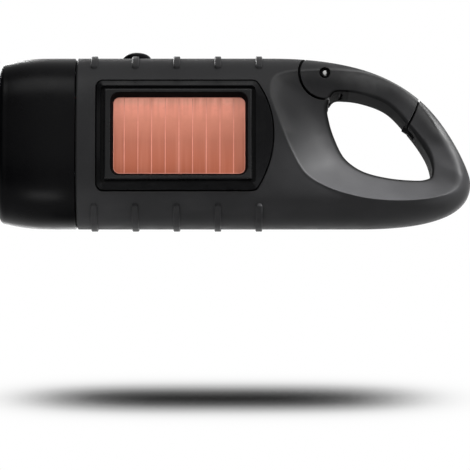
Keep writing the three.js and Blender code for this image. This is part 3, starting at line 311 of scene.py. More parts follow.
def prism(name: str, outline: Points, low: float, high: float) -> Piece:
    """Extrudes an outline of x, z rows along y."""
    return loft(name, [at_depth(outline, -low), at_depth(outline, -high)])


def circle(radius: float, sides: int, centre: Pair = (0.0, 0.0)) -> Points:
    """Points of a circle as rows of two numbers."""
    turn = np.linspace(0, math.tau, sides, endpoint=False)
    return np.column_stack([centre[0] + radius * np.cos(turn), centre[1] + radius * np.sin(turn)])


def arc(centre: Pair, radius: float, start: float, end: float,
        steps: int) -> Points:
    """Points of an arc."""
    turn = np.radians(np.linspace(start, end, steps + 1))
    return np.column_stack([centre[0] + radius * np.cos(turn), centre[1] + radius * np.sin(turn)])


def between(start: Points, end: Points, steps: int) -> Points:
    """Points strictly between two points."""
    share = np.linspace(0, 1, steps + 1)[1:-1, None]
    return start + (end - start) * share


def rounded(left: float, right: float, half: float, corner: float, grow: float = 0.0) -> Points:
    """A rectangle with round corners, the same number of points at any growth.

    Args:
        left: Lowest x.
        right: Highest x.
        half: Half height.
        corner: Radius of the corners.
        grow: How much larger it is on each side.

    Returns:
        Rows of x and z.
    """
    radius = max(corner + grow, 0.05)
    places = [(right - corner, half - corner), (left + corner, half - corner),
              (left + corner, corner - half), (right - corner, corner - half)]
    return np.concatenate([arc(place, radius, 90 * i, 90 * i + 90, 8)
                           for i, place in enumerate(places)])


def sector(centre: Pair, root: float, reach: float, start: float, end: float,
           steps: int = 90) -> Points:
    """A round root with a wider arm between two angles."""
    return np.concatenate([arc(centre, reach, start, end, steps),
                           arc(centre, root, end, start + 360, steps)])


def post(name: str, centre: Pair, radius: float, low: float, high: float,
         sides: int = 64) -> Piece:
    """A round bar along y."""
    return prism(name, circle(radius, sides, centre), low, high)


def turned(name: str, profile: Rows, axis: Axis, centre: Triple, sides: int = 96,
           closed: bool = False) -> Piece:
    """Turns a profile round an axis.

    Args:
        name: The piece's name.
        profile: Radius and place along the axis, from end to end, or all round a ring's.
        axis: Direction of the axis.
        centre: Where the axis starts.
        sides: Number of sides.
        closed: Whether the profile closes, which makes a ring.

    Returns:
        The closed piece.
    """
    least = 1e-4
    others = [other.value for other in Axis if other is not axis]
    rings = []
    for radius, along in profile:
        ring = np.zeros((sides, 3))
        ring[:, others] = circle(max(radius, least), sides)
        ring[:, axis.value] = along
        rings.append(ring + np.array(centre))
    return loft(name, rings, closed=closed)


def block(name: str, low: Sequence[float], high: Sequence[float]) -> Piece:
    """A box between two corners, for cutting."""
    outline = np.array([[low[0], low[2]], [high[0], low[2]], [high[0], high[2]], [low[0], high[2]]])
    return prism(name, outline, low[1], high[1])


def bezier(corners: Rows, steps: int = 900) -> Points:
    """Points of a cubic curve.

    Args:
        corners: Its four control points.
        steps: Number of steps.

    Returns:
        Rows of two numbers.
    """
    a, b, c, d = (np.array(corner, float) for corner in corners)
    t = np.linspace(0, 1, steps + 1)[:, None]
    return (1 - t) ** 3 * a + 3 * (1 - t) ** 2 * t * b + 3 * (1 - t) * t ** 2 * c + t ** 3 * d


def polar(centre: Pair, radius: float, degrees: float) -> Pair:
    """The point at a radius and angle from a centre."""
    turn = math.radians(degrees)
    return centre[0] + radius * math.cos(turn), centre[1] + radius * math.sin(turn)


def closed_spline(points: Points, steps: int = 60) -> Points:
    """A closed curve through points, with even tension along uneven spans.

    Args:
        points: Rows of two numbers.
        steps: Steps in each span.

    Returns:
        Rows of two numbers.
    """
    count = len(points)
    rows = []
    t = np.linspace(0, 1, steps, endpoint=False)[:, None]
    for i in range(count):
        before, start, end, after = (points[(i + k - 1) % count] for k in range(4))
        first, second, third = (math.sqrt(math.dist(p, q)) for p, q in
                                ((before, start), (start, end), (end, after)))
        into = ((start - before) / first - (end - before) / (first + second)
                + (end - start) / second) * second
        out = ((end - start) / second - (after - start) / (second + third)
               + (after - end) / third) * second
        rows.append(start + into * t + (3 * (end - start) - 2 * into - out) * t ** 2
                    + (2 * (start - end) + into + out) * t ** 3)
    return np.concatenate(rows)


def soft_lower(a: Points, b: Points, width: Points) -> Points:
    """The lower of two depths, rounded where they meet."""
    near = np.clip(width - np.abs(a - b), 0, None) / width
    return np.minimum(a, b) - near * near * width / 4


def ramp(value: Points, low: float, high: float) -> Points:
    """A share that runs from 0 at one value to 1 at another."""
    return np.clip((value - low) / (high - low), 0, 1)


def below(level: float, rows: Rows) -> list[Pair]:
    """Pairs whose second number is counted down from a level."""
    return [(first, level - drop) for first, drop in rows]


def quarter(steps: int) -> list[Pair]:
    """Sines and cosines of even steps over a quarter turn, with both its ends."""
    turns = [math.radians(turn) for turn in np.linspace(0, 90, steps + 1)]
    return [(math.sin(turn), math.cos(turn)) for turn in turns]


def move(piece: Piece, way: Points) -> None:
    """Moves the points of a piece's mesh."""
    for vertex in piece.data.vertices:
        vertex.co += Vector(way)


@dataclass
class BodyForm:
    """The skin of the grip and its tail, as depths over the plane of x and z.

    The eye's edge and the crest round it are given as shares of the length and the half
    height. Turns are counted round the eye's centre, from the tail over the top.
    """

    length: float = 136.0
    half_height: float = 24.6
    half_depth: float = 19.0
    power: float = 2.5
    start: float = 22.4
    fan: float = 105.0
    top_flank: float = 78.3
    top_handle: float = 20.9
    bottom_flank: float = 104.0
    bottom_handle: float = 19.7
    flank_step: float = 0.2
    shoulder: Pair = (125.0, 8.7)
    shoulder_turn: float = -48.7
    shoulder_handles: Pair = (-15.3, 9.0)
    tip_drop: float = 12.0
    tip_handles: Pair = (3.3, 9.0)
    eye_centre: float = 109.0
    eye_depth: float = 9.5
    dish_power: float = 1.45
    crest_round: float = 0.4
    bead: float = 0.13
    bead_width: float = 0.5
    bead_depths: Pair = (4.0, 8.0)
    gate_bead: float = 1.2
    gate_fade: float = 2.4
    gate_turns: Pair = (-27.0, 122.0)
    gate_blends: Pair = (4.0, 6.0)
    hinge: Pair = (93.8, 19.0)
    knuckle: float = 8.7
    eye_round: float = 0.45
    gate_round: float = 1.3
    hook_round: float = 0.9
    hook_turn: Pair = (-12.0, 24.0)
    hook_soft: float = 2.6
    soft_turn: Pair = (-15.0, 34.0)
    crest_highlight_inside: Pair = (75.0, 105.0)
    no_highlight_rise: Pair = (-165.0, -135.0)
    no_highlight_fall: Pair = (5.0, -20.0)
    crest_highlight_shares: Pair = (0.36, 0.64)
    shade_line_width: float = 0.75
    shade_line_crisp: float = 3.0
    shade_line_overlap: float = 0.1
    hinge_shade_turns: Pair = (-130.0, -36.0)
    hinge_shade_reach: float = 0.5
    skirt: float = 0.3
    edge_steps: int = 6
    dish_rows: int = 28
    dish_ease: float = 1.6
    flank_rows: int = 30
    join: float = 76.0
    station_step: float = 2.0
    chamfer: float = 0.4
    eye_edge: Rows = (
        (0.6955, 0.385), (0.6995, 0.19), (0.7115, -0.016), (0.7295, -0.213), (0.751, -0.323),
        (0.776, -0.396), (0.821, -0.459), (0.868, -0.487), (0.899, -0.484), (0.9135, -0.45),
        (0.917, -0.38), (0.9105, -0.225), (0.892, -0.036), (0.8665, 0.158), (0.8225, 0.41),
        (0.775, 0.522), (0.735, 0.562), (0.71, 0.55))
    crest: Rows = (
        (0.5755, 0.5), (0.5912, 0.217), (0.6235, -0.224), (0.6507, -0.459), (0.6978, -0.61),
        (0.7765, -0.724), (0.853, -0.748), (0.917, -0.711), (0.9574, -0.634), (0.9743, -0.549),
        (0.9787, -0.37), (0.9618, -0.134), (0.936, 0.069), (0.8912, 0.415), (0.8515, 0.614),
        (0.7912, 0.756), (0.7338, 0.793), (0.6507, 0.78), (0.6066, 0.756), (0.583, 0.685))

    def __post_init__(self) -> None:
        """Works out the outline and the radii round the fan's centre and the eye."""
        tip = (self.length, -self.tip_drop)
        flat = np.arange(self.start, self.top_flank, self.flank_step)
        before, after = self.shoulder_handles
        self.top = np.concatenate([
            np.column_stack([flat, np.full(len(flat), self.half_height)]),
            bezier([(self.top_flank, self.half_height),
                    (self.top_flank + self.top_handle, self.half_height),
                    polar(self.shoulder, before, self.shoulder_turn), self.shoulder]),
            bezier([self.shoulder, polar(self.shoulder, after, self.shoulder_turn),
                    (self.length, self.tip_handles[0] - self.tip_drop), tip])])
        flat = np.arange(self.start, self.bottom_flank, self.flank_step)
        self.bottom = np.concatenate([
            np.column_stack([flat, np.full(len(flat), -self.half_height)]),
            bezier([(self.bottom_flank, -self.half_height),
                    (self.bottom_flank + self.bottom_handle, -self.half_height),
                    (self.length, -self.tip_drop - self.tip_handles[1]), tip])])
        outline = np.concatenate([self.top, self.bottom[::-1]])
        self.fan_radius = self.radii(outline, self.fan)
        self.out_radius = self.radii(outline, self.eye_centre)
        scale = np.array([self.length, self.half_height])
        self.eye_radius, self.crest_radius = (
            self.radii(closed_spline(np.array(curve) * scale), self.eye_centre)
            for curve in (self.eye_edge, self.crest))

    @staticmethod
    def radii(curve: Points, centre: float) -> Callable[[Points], Points]:
        """The radius of a curve round a point on the middle line.

        Args:
            curve: Rows of x and z.
            centre: The point's x.

        Returns:
            A function from angles in radians to radii.
        """
        x, z = curve[:, 0] - centre, curve[:, 1]
        angle = np.arctan2(z, x)
        order = np.argsort(angle)
        angle, radius = angle[order], np.hypot(x, z)[order]
        return lambda wanted: np.interp(wanted, angle, radius, period=math.tau)

    def around(self, x: Points, z: Points) -> tuple[Points, Points]:
        """The angles, in radians, and the distances of places from the eye's centre."""
        return np.arctan2(z, x - self.eye_centre), np.hypot(x - self.eye_centre, z)

    def place(self, reach: Points, angle: Points) -> tuple[Points, Points]:
        """The x and z at distances and angles, in radians, from the eye's centre."""
        return self.eye_centre + reach * np.cos(angle), reach * np.sin(angle)

    def skin(self, x: Points, z: Points) -> Points:
        """Depth of the body before its dish is cut.

        Args:
            x, z: Place along the light and up.

        Returns:
            Depths off the middle plane.
        """
        upper = np.interp(x, self.top[:, 0], self.top[:, 1])
        lower = np.interp(x, self.bottom[:, 0], self.bottom[:, 1])
        straight = np.where(z >= 0, z / np.maximum(upper, 1), z / np.minimum(lower, -1))
        turned_share = np.hypot(x - self.fan, z) / self.fan_radius(np.arctan2(z, x - self.fan))
        share = np.clip(np.where(x < self.fan, straight, turned_share), 0, 1)
        return self.half_depth * (1 - share ** self.power) ** (1 / self.power)

    def dish(self, x: Points, z: Points) -> Points:
        """Depth of the dish that runs from the crest down to the eye.

        Args:
            x, z: Place along the light and up.

        Returns:
            Depths off the middle plane.
        """
        angle, reach = self.around(x, z)
        inner, outer = self.eye_radius(angle), self.crest_radius(angle)
        share = np.clip((reach - inner) / (outer - inner), 0, None)
        crest = np.maximum(self.skin(*self.place(outer, angle)), self.eye_depth)
        return self.eye_depth + (crest - self.eye_depth) * share ** self.dish_power

    def depth(self, x: Points, z: Points) -> Points:
        """Depth of the skin: the dish and the body, with a fine bead on their crest.

        Args:
            x, z: Place along the light and up.

        Returns:
            Depths off the middle plane.
        """
        angle, reach = self.around(x, z)
        off = (reach - self.crest_radius(angle)) / self.bead_width
        skin = self.skin(x, z)
        hook = self.hook_side(angle)
        bead = self.bead * (1 - hook) * np.exp(-off * off) * ramp(skin, *self.bead_depths)
        return soft_lower(self.dish(x, z), skin, self.crest_round + self.hook_soft * hook) + bead

    def lean(self, x: Points, z: Points, side: Side) -> Points:
        """Directions that stand square on the finished skin.

        Args:
            x, z: Place along the light and up.
            side: Which half.

        Returns:
            Unit rows of x, y and z.
        """
        step = 0.03
        along = (self.depth(x + step, z) - self.depth(x - step, z)) / (2 * step)
        up = (self.depth(x, z + step) - self.depth(x, z - step)) / (2 * step)
        rows = np.column_stack([-along, np.full(len(x), float(side.value)), -up])
        return rows / np.linalg.norm(rows, axis=1)[:, None]

    @staticmethod
    def turn_of(angle: Points) -> Points:
        """Angles in radians as turns from -180 to 180 degrees."""
        return (np.degrees(angle) + 180) % 360 - 180

    def edge_rounding(self, angle: Points) -> Points:
        """Rounding of the eye's edge: crisp at the left and below, wide on the gate's side.

        Args:
            angle: Angles round the eye, in radians.

        Returns:
            Radii of the rounding.
        """
        middle, reach = self.hook_turn
        hook = np.exp(-((self.turn_of(angle) - middle) / reach) ** 2)
        wide = self.gate_round - self.eye_round + self.hook_round * hook
        return self.eye_round + wide * self.gate_side(angle)

    def gate_side(self, angle: Points) -> Points:
        """How far an angle round the eye lies on the gate's side, from 0 to 1.

        Args:
            angle: Angles in radians.

        Returns:
            The shares.
        """
        turn = self.turn_of(angle)
        low, high = (sign * (turn - end) / blend for sign, end, blend in
                     zip((-1, 1), self.gate_turns, self.gate_blends))
        return 1 / (1 + np.exp(low)) / (1 + np.exp(high))

    def hook_side(self, angle: Points) -> Points:
        """How far an angle round the eye lies on the hook's smooth end, from 0 to 1."""
        middle, reach = self.soft_turn
        return np.clip(1 - ((self.turn_of(angle) - middle) / reach) ** 2, 0, 1) ** 2

    def eye_lip(self, angle: Points) -> tuple[Points, Points, Points]:
        """The eye's edge: its radius, its rounding and the skin's depth where that begins."""
        inner, soft = self.eye_radius(angle), self.edge_rounding(angle)
        return inner, soft, self.depth(*self.place(inner + soft, angle))

    def shares(self, x: Points, y: Points, z: Points) -> dict[str, Points]:
        """What the finish reads: crest wear and painted highlight, painted shade, coarse places.

        The crest is lightened, partly as wear and partly as a painted highlight, but for its low
        side; the line is painted shade along the eye's edge away from the gate and in the corner
        under the hinge, and the eye's wall and the hook's outer band are coarse.

        Args:
            x, y, z: Places along the light, across it and up.

        Returns:
            Shares from 0 to 1, by the name that the mesh carries them under.
        """
        angle, reach = self.around(x, z)
        turn, gate = np.degrees(angle), self.gate_side(angle)
        beyond = reach - self.crest_radius(angle)
        # The crest's lighter share is partly wear and partly a painted highlight, left off its low
        # side.
        inside = (beyond < 0) * ramp(turn, *self.crest_highlight_inside) * self.gate_fade
        off = beyond / (self.bead_width + self.gate_bead * gate + inside)
        low = ramp(turn, *self.no_highlight_rise) * ramp(turn, *self.no_highlight_fall)
        base, more = self.crest_highlight_shares
        ridge = np.exp(-off * off) * (1 - low) * (base + more * gate)
        # The line and the corner are painted shade: along the eye's edge away from the gate, and
        # under the hinge.
        inner, soft, flush = self.eye_lip(angle)
        off = reach - inner
        line = np.clip(self.shade_line_crisp * (1 - off / self.shade_line_width), 0, 1)
        line = line * (np.abs(y) > flush - soft - self.shade_line_overlap)
        across, up = x - self.hinge[0], z - self.hinge[1]
        turn, (low, high) = np.degrees(np.arctan2(up, across)), self.hinge_shade_turns
        corner = (np.hypot(across, up) < self.knuckle) & (off < self.hinge_shade_reach)
        corner &= (turn < high) & (turn > low)
        outer = np.clip(beyond, 0, 1) * gate
        return {"ridge": ridge * ramp(self.skin(x, z), *self.bead_depths),
                "line": np.maximum(line * (1 - gate), corner),
                "wall": np.maximum(np.clip(2 - 2 * off / soft, 0, 1), outer)}

    def bulge(self, wave: Points) -> Points:
        """Sines or cosines, filled out to the grip's rounded section."""
        return np.sign(wave) * np.abs(wave) ** (2 / self.power)

    def section(self, count: int) -> Points:
        """Places up of half the grip's section, from the top edge to the bottom one."""
        return self.half_height * self.bulge(np.cos(np.linspace(0, math.pi, count)))

    def tail_rays(self, section: Points, count: int) -> tuple[Points, Points]:
        """Angles and outer radii of the rays round the eye.

        Args:
            section: Places up at which the grip's section meets the tail.
            count: Number of rays round the rest of the outline.

        Returns:
            Angles and radii.
        """
        left = np.arctan2(section, self.join - self.eye_centre) % math.tau
        left_radius = np.hypot(section, self.join - self.eye_centre)
        right = np.linspace(left[-1], left[0] + math.tau, count + 2)[1:-1]
        return np.concatenate([left, right]), np.concatenate([left_radius, self.out_radius(right)])

    def tail_rows(self, angle: Points, reach: Points, seam: float
                  ) -> list[tuple[Points, Optional[Points]]]:
        """Rings of the tail, from the eye's wall to the outline.

        Args:
            angle: Angles of the rays, in radians.
            reach: Radii of the outline.
            seam: Distance of the parting face from the middle plane.

        Returns:
            Radius and depth of each ring, without a depth where it lies on the skin.
        """
        inner, soft, flush = self.eye_lip(angle)
        first, crest = inner + soft, self.crest_radius(angle)
        rows = [(inner, np.full(len(angle), seam)), (inner, flush - soft - self.skirt),
                (inner, flush - soft)]
        rows += [(inner + soft * (1 - cosine), flush - soft * (1 - sine))
                 for sine, cosine in quarter(self.edge_steps)[1:-1]]
        rows += [(first + (crest - first) * (1 - (1 - share) ** self.dish_ease), None)
                 for share in np.linspace(0, 1, self.dish_rows)]
        rows += [(crest + (reach - crest) * (1 - math.cos(math.pi * share)) / 2, None)
                 for share in np.linspace(0, 1, self.flank_rows)[1:]]
        return rows

    def half(self, name: str, side: Side, seam: float, closed: bool = True,
             across: int = 97, rays: int = 260) -> Piece:
        """One half of the body as a closed solid, or its open skin.

        Args:
            name: The piece's name.
            side: Which half.
            seam: Distance of the parting face from the middle plane.
            closed: Whether the parting face is filled.
            across: Points of the grip's section.
            rays: Rays round the outline of the tail.

        Returns:
            The piece.
        """
        section = self.section(across)
        angle, reach = self.tail_rays(section, rays)
        points = []
        for radius, depth in self.tail_rows(angle, reach, seam):
            x, z = self.place(radius, angle)
            if depth is None:
                depth = np.maximum(self.depth(x, z), seam)
            points.append(np.column_stack([x, side.value * depth, z]))
        points[-1][across:, 1] = side.value * seam
        faces = grid_faces(len(points), len(angle), closed=True)
        start = len(points) * len(angle)
        front = self.start + self.chamfer
        stations = [self.join, *np.arange(self.join - self.station_step, front,
                                          -self.station_step), front, self.start]
        for x in stations:
            inset = self.chamfer if x == self.start else 0.0
            z = section * (self.half_height - inset) / self.half_height
            depth = np.maximum(self.skin(np.full(across, x + 1e-6), section) - inset, seam)
            points.append(np.column_stack([np.full(across, x), side.value * depth, z]))
        faces += grid_faces(len(stations), across, start)
        if closed:
            faces += self.fill(points, len(stations), side.value * seam)
        else:
            last = start + (len(stations) - 1) * across
            faces.append(tuple(last + i for i in range(across)))
        made = new_piece(name, np.concatenate(points), faces)
        return seal(made) if closed else made

    @staticmethod
    def fill(points: list[Points], stations: int, level: float) -> Faces:
        """Adds the parting face and the front end of a half.

        Args:
            points: Its rows, to which the new ones are added.
            stations: How many of them, the last ones, are the grip's.
            level: Place of the parting face across the light.

        Returns:
            The new faces.
        """
        across, ring = len(points[-1]), len(points[0])
        flat = sum(len(row) for row in points)
        floor = flat + stations * across
        last, end = flat - across, floor - across
        for row in (*points[-stations:], points[0], points[-stations - 1]):
            pressed = row.copy()
            pressed[:, 1] = level
            points.append(pressed)
        return [*grid_faces(stations, across, flat), *grid_faces(2, ring, floor, closed=True),
                *((last + i, last + i + 1, end + i + 1, end + i) for i in range(across - 1))]

    def blank(self, name: str) -> Piece:
        """The whole body with its dish and eye, as one closed solid."""
        halves = [self.half(name + side.name, side, 0.0, closed=False) for side in Side]
        return seal(merge(name, halves))

    def bar(self, name: str, low: float, high: float, inset: float, sides: int = 128
            ) -> Piece:
        """A length of the grip's section, smaller by an inset."""
        return loft(name, self.rings([(low, inset), (high, inset)], sides))

    def ring(self, x: float, inset: float, sides: int) -> Points:
        """The section of the grip all round at one place."""
        turn = np.linspace(0, math.tau, sides, endpoint=False)
        return np.column_stack([np.full(sides, x),
                                (self.half_depth - inset) * self.bulge(np.sin(turn)),
                                (self.half_height - inset) * self.bulge(np.cos(turn))])

    def rings(self, rows: Rows, sides: int) -> list[Points]:
        """The sections of the grip at pairs of a place and an inset."""
        return [self.ring(x, inset, sides) for x, inset in rows]


Colour = Triple
Socket = bpy.types.NodeSocket
CLOUD_READ, RUB_AND_HIGHLIGHT_READ, ROUGH_READ = (0.32, 0.68), (0.35, 0.65), (0.3, 0.7)  # ranges of noise
EDGE_TURN = (0.72, 0.93)  # cosines between rounded and true direction: edge fully lightened, not lightened
EDGE_SAMPLES = 6
COAT_ROUGHNESS = 0.08
# Black of the painted shade along the eye's edge and under the hinge.
PAINTED_SHADE_BLACK = (0.0008, 0.0008, 0.0008)


def tone(red: float, green: float, blue: float) -> Colour:
    """A colour as the eye counts it, 0 to 255, in the linear values of a shader."""
    return tuple(((c / 255 + 0.055) / 1.055) ** 2.4 if c > 10.31 else c / 255 / 12.92
                 for c in (red, green, blue))


class Graph:
    """A node tree, with short ways to add and link nodes."""

    def __init__(self, tree: bpy.types.NodeTree) -> None:
        """Takes the tree."""
        self.tree = tree

    def add(self, kind: str, inputs: Optional[dict] = None, **settings: object) -> bpy.types.Node:
        """Adds a node.

        Args:
            kind: Type of the node.
            inputs: Values or sockets by input name or number.
            settings: Properties of the node.

        Returns:
            The node.
        """
        node = self.tree.nodes.new(kind)
        for key, value in settings.items():
            setattr(node, key, value)
        for key, value in (inputs or {}).items():
            self.join(value, node.inputs[key])
        return node

    def join(self, value: object, socket: Socket) -> None:
        """Links a socket, or sets a plain value.

        Args:
            value: A socket, or what the input takes.
            socket: The input.
        """
        if isinstance(value, bpy.types.NodeSocket):
            self.tree.links.new(value, socket)
        elif isinstance(value, tuple) and socket.type == "RGBA":
            socket.default_value = (*value, 1.0)
        else:
            socket.default_value = value

    def span(self, value: Socket, low: object, high: object, start: float = 0.0,
             end: float = 1.0) -> Socket:
        """Spreads a value over a new range."""
        return self.add("ShaderNodeMapRange", {
            "Value": value, "From Min": start, "From Max": end,
            "To Min": low, "To Max": high}).outputs[0]

    def sum(self, operation: Sum, first: object, second: object = 0.0) -> Socket:
        """A sum of two values, named by its operation."""
        return self.add("ShaderNodeMath", {0: first, 1: second},
                        operation=operation.value).outputs[0]


class Sheet(Graph):
    """The node sheet of one material, with what the finishes need."""

    def __init__(self, name: str) -> None:
        """Starts a material with its shader and its place on the piece.

        Args:
            name: Name of the material.
        """
        self.material = bpy.data.materials.new(name)
        self.material.use_nodes = True
        super().__init__(self.material.node_tree)
        self.shader = self.tree.nodes["Principled BSDF"]
        self.place = self.add("ShaderNodeTexCoord").outputs["Object"]

    def noise(self, size: float, detail: float = 3.0, rough: float = 0.55,
              stretch: Colour = (1.0, 1.0, 1.0)) -> Socket:
        """Soft noise from 0 to 1."""
        place = self.add("ShaderNodeMapping", {"Vector": self.place, "Scale": stretch})
        return self.add("ShaderNodeTexNoise", {
            "Vector": place.outputs[0], "Scale": 1 / (size * MILLIMETRE),
            "Detail": detail, "Roughness": rough}).outputs[0]

    def voronoi(self, size: float, output: str, jitter: float = 1.0, **settings: object
                ) -> Socket:
        """A pattern of cells."""
        return self.add("ShaderNodeTexVoronoi", {
            "Vector": self.place, "Scale": 1 / (size * MILLIMETRE), "Randomness": jitter},
            **settings).outputs[output]

    def waves(self, size: float, wobble: float, direction: str) -> Socket:
        """Bands across one direction, from 0 to 1."""
        return self.add("ShaderNodeTexWave", {
            "Vector": self.place, "Scale": 1 / (size * MILLIMETRE), "Distortion": wobble},
            bands_direction=direction).outputs[1]

    def mix(self, share: object, first: object, second: object) -> Socket:
        """Blends two colours by a share."""
        return self.add("ShaderNodeMix", {0: share, 6: first, 7: second},
                        data_type="RGBA").outputs[2]

    def axis(self, name: str) -> Socket:
        """One direction of the place on the piece: X, Y or Z, in metres."""
        return self.add("ShaderNodeSeparateXYZ", {0: self.place}).outputs[name]

    def carried(self, name: str) -> Socket:
        """A share that the mesh carries at its points."""
        return self.add("ShaderNodeAttribute", attribute_name=name).outputs["Fac"]

    def shades(self, share: Socket, stops: Sequence[tuple[float, Colour]]) -> Socket:
        """A colour that runs through stops.

        Args:
            share: Where it is read, from 0 to 1.
            stops: Place and colour of each stop.

        Returns:
            The colour.
        """
        node = self.add("ShaderNodeValToRGB", {0: share})
        for _ in stops[2:]:
            node.color_ramp.elements.new(0.5)
        for stop, (place, colour) in zip(node.color_ramp.elements, stops):
            stop.position, stop.color = place, (*colour, 1.0)
        return node.outputs[0]


@dataclass(frozen=True)
class Finish:
    """A surface: its colours, how rough it is, its grain, worn edges and painted edge highlights.

    Sizes of grain, patches and edges are in millimetres. The two shares are those of the
    clouds and the specks in the blend of colour and tint.
    """

    name: str
    colour: Colour
    tint: Colour
    roughness: float = 0.5
    spread: float = 0.08
    grain: float = 0.35
    height: float = 0.012
    patch: float = 8.0
    specular: float = 0.5
    metallic: float = 0.0
    edge: float = 0.0
    wear: float = 0.0
    wear_and_highlight: Colour = (0.12, 0.12, 0.12)
    coat: float = 0.0
    rub_and_highlight_amount: float = 0.0
    speck: float = 1.7
    shares: Pair = (0.7, 0.3)
    uneven: Pair = (0.7, 1.3)

    def paint(self, sheet: Sheet) -> Socket:
        """The colour over the piece.

        Args:
            sheet: The material's nodes.

        Returns:
            The colour.
        """
        cloud = sheet.sum(Sum.MULTIPLY, sheet.noise(self.patch, 4.0), self.shares[0])
        speck = sheet.noise(self.grain * self.speck, 2.0)
        blend = sheet.sum(Sum.ADD, cloud, sheet.sum(Sum.MULTIPLY, speck, self.shares[1]))
        return sheet.mix(sheet.span(blend, 0.0, 1.0, *CLOUD_READ), self.colour, self.tint)

    def relief(self, sheet: Sheet) -> Socket:
        """The height of the grain."""
        return sheet.noise(self.grain, 3.0, 0.6)

    def build(self) -> bpy.types.Material:
        """Makes the material, once.

        Returns:
            The material.
        """
        if self.name in bpy.data.materials:
            return bpy.data.materials[self.name]
        sheet = Sheet(self.name)
        colour, bump = self.paint(sheet), {}
        if self.edge:
            bump["Normal"] = sheet.add("ShaderNodeBevel", {"Radius": self.edge * MILLIMETRE},
                                       samples=EDGE_SAMPLES).outputs[0]
            if self.wear:
                colour = self.edges_worn_and_highlighted(sheet, colour, bump["Normal"])
        if self.rub_and_highlight_amount:
            colour = self.marks(sheet, colour)
        bump.update({"Height": self.relief(sheet), "Strength": 1.0,
                     "Distance": self.height * MILLIMETRE})
        rough = sheet.span(sheet.noise(self.patch / 2, 4.0, 0.6), self.roughness - self.spread,
                           self.roughness + self.spread, *ROUGH_READ)
        if self.rub_and_highlight_amount:
            rough = sheet.sum(Sum.MAXIMUM, rough, sheet.carried("wall"))
        for name, value in (
                ("Normal", sheet.add("ShaderNodeBump", bump).outputs[0]), ("Base Color", colour),
                ("Roughness", rough), ("Specular IOR Level", self.specular),
                ("Metallic", self.metallic), ("Coat Weight", self.coat),
                ("Coat Roughness", COAT_ROUGHNESS)):
            sheet.join(value, sheet.shader.inputs[name])
        self.special(sheet)
        return sheet.material

    def edges_worn_and_highlighted(self, sheet: Sheet, colour: Socket, rounded_way: Socket) -> Socket:
        """Lightens the edges where the surface turns: wear, and a painted highlight on the rim.

        Args:
            sheet: The material's nodes.
            colour: The colour so far.
            rounded_way: The surface's directions, with round edges.

        Returns:
            The new colour.
        """
        true = sheet.add("ShaderNodeNewGeometry").outputs["True Normal"]
        turn = sheet.add("ShaderNodeVectorMath", {0: rounded_way, 1: true},
                         operation="DOT_PRODUCT").outputs["Value"]
        rub_and_highlight_amount = sheet.span(sheet.noise(self.patch / 3, 4.0), 0.15, 1.0, *RUB_AND_HIGHLIGHT_READ)
        share = sheet.sum(Sum.MULTIPLY, sheet.span(turn, self.wear, 0.0, *EDGE_TURN), rub_and_highlight_amount)
        return sheet.mix(share, colour, self.wear_and_highlight)

    def marks(self, sheet: Sheet, colour: Socket) -> Socket:
        """Adds the mesh's crest wear and painted highlight, and its painted shade line.

        Args:
            sheet: The material's nodes.
            colour: The colour so far.

        Returns:
            The new colour.
        """
        low, high = (self.rub_and_highlight_amount * share for share in self.uneven)
        wear_and_highlight = sheet.span(sheet.noise(self.patch / 2), low, high, *ROUGH_READ)
        share = sheet.sum(Sum.MULTIPLY, sheet.carried("ridge"), wear_and_highlight)
        return sheet.mix(sheet.carried("line"), sheet.mix(share, colour, self.wear_and_highlight), PAINTED_SHADE_BLACK)

    def special(self, sheet: Sheet) -> None:
        """Sets what only some finishes need."""


@dataclass(frozen=True)
class Turned(Finish):
    """Metal with fine lines of the tool that cut or drew it."""

    stretch: Colour = (1.0, 12.0, 1.0)

    def relief(self, sheet: Sheet) -> Socket:
        """Fine lines across the piece."""
        return sheet.noise(self.grain, 4.0, 0.7, self.stretch)


@dataclass(frozen=True)
class Silicon(Finish):
    """The copper coloured cell: painted light above, crystal flakes and fine streaks."""

    low: float = -10.8
    high: float = 10.8
    flake: float = 1.1
    flake_share: float = 0.1
    streak: float = 1.6
    streak_share: float = 0.5
    streak_read: Pair = (0.45, 0.7)
    stretch: Triple = (1.0, 1.0, 0.05)
    # Colours from bottom to top; the top is painted lighter, as painted light from above.
    painted_light_bands: Sequence[tuple[float, Colour]] = (
        (0.0, tone(186, 103, 76)), (0.42, tone(185, 112, 91)), (0.7, tone(211, 136, 114)),
        (0.88, tone(246, 162, 140)), (1.0, tone(255, 184, 162)))

    def paint(self, sheet: Sheet) -> Socket:
        """The colour from top to bottom, with painted light above, broken up by flakes.

        Args:
            sheet: The material's nodes.

        Returns:
            The colour.
        """
        ends = (ORIGIN[2] + end * MILLIMETRE for end in (self.low, self.high))
        ground = sheet.shades(sheet.span(sheet.axis("Z"), 0.0, 1.0, *ends), self.painted_light_bands)
        flake = sheet.add("ShaderNodeSeparateColor",
                          {0: sheet.voronoi(self.flake, "Color")}).outputs[0]
        tinted = sheet.mix(sheet.span(flake, 0.0, self.flake_share), ground, self.tint)
        streak = sheet.noise(self.streak, 2.0, 0.5, self.stretch)
        return sheet.mix(sheet.span(streak, 0.0, self.streak_share, *self.streak_read), tinted,
                         self.colour)


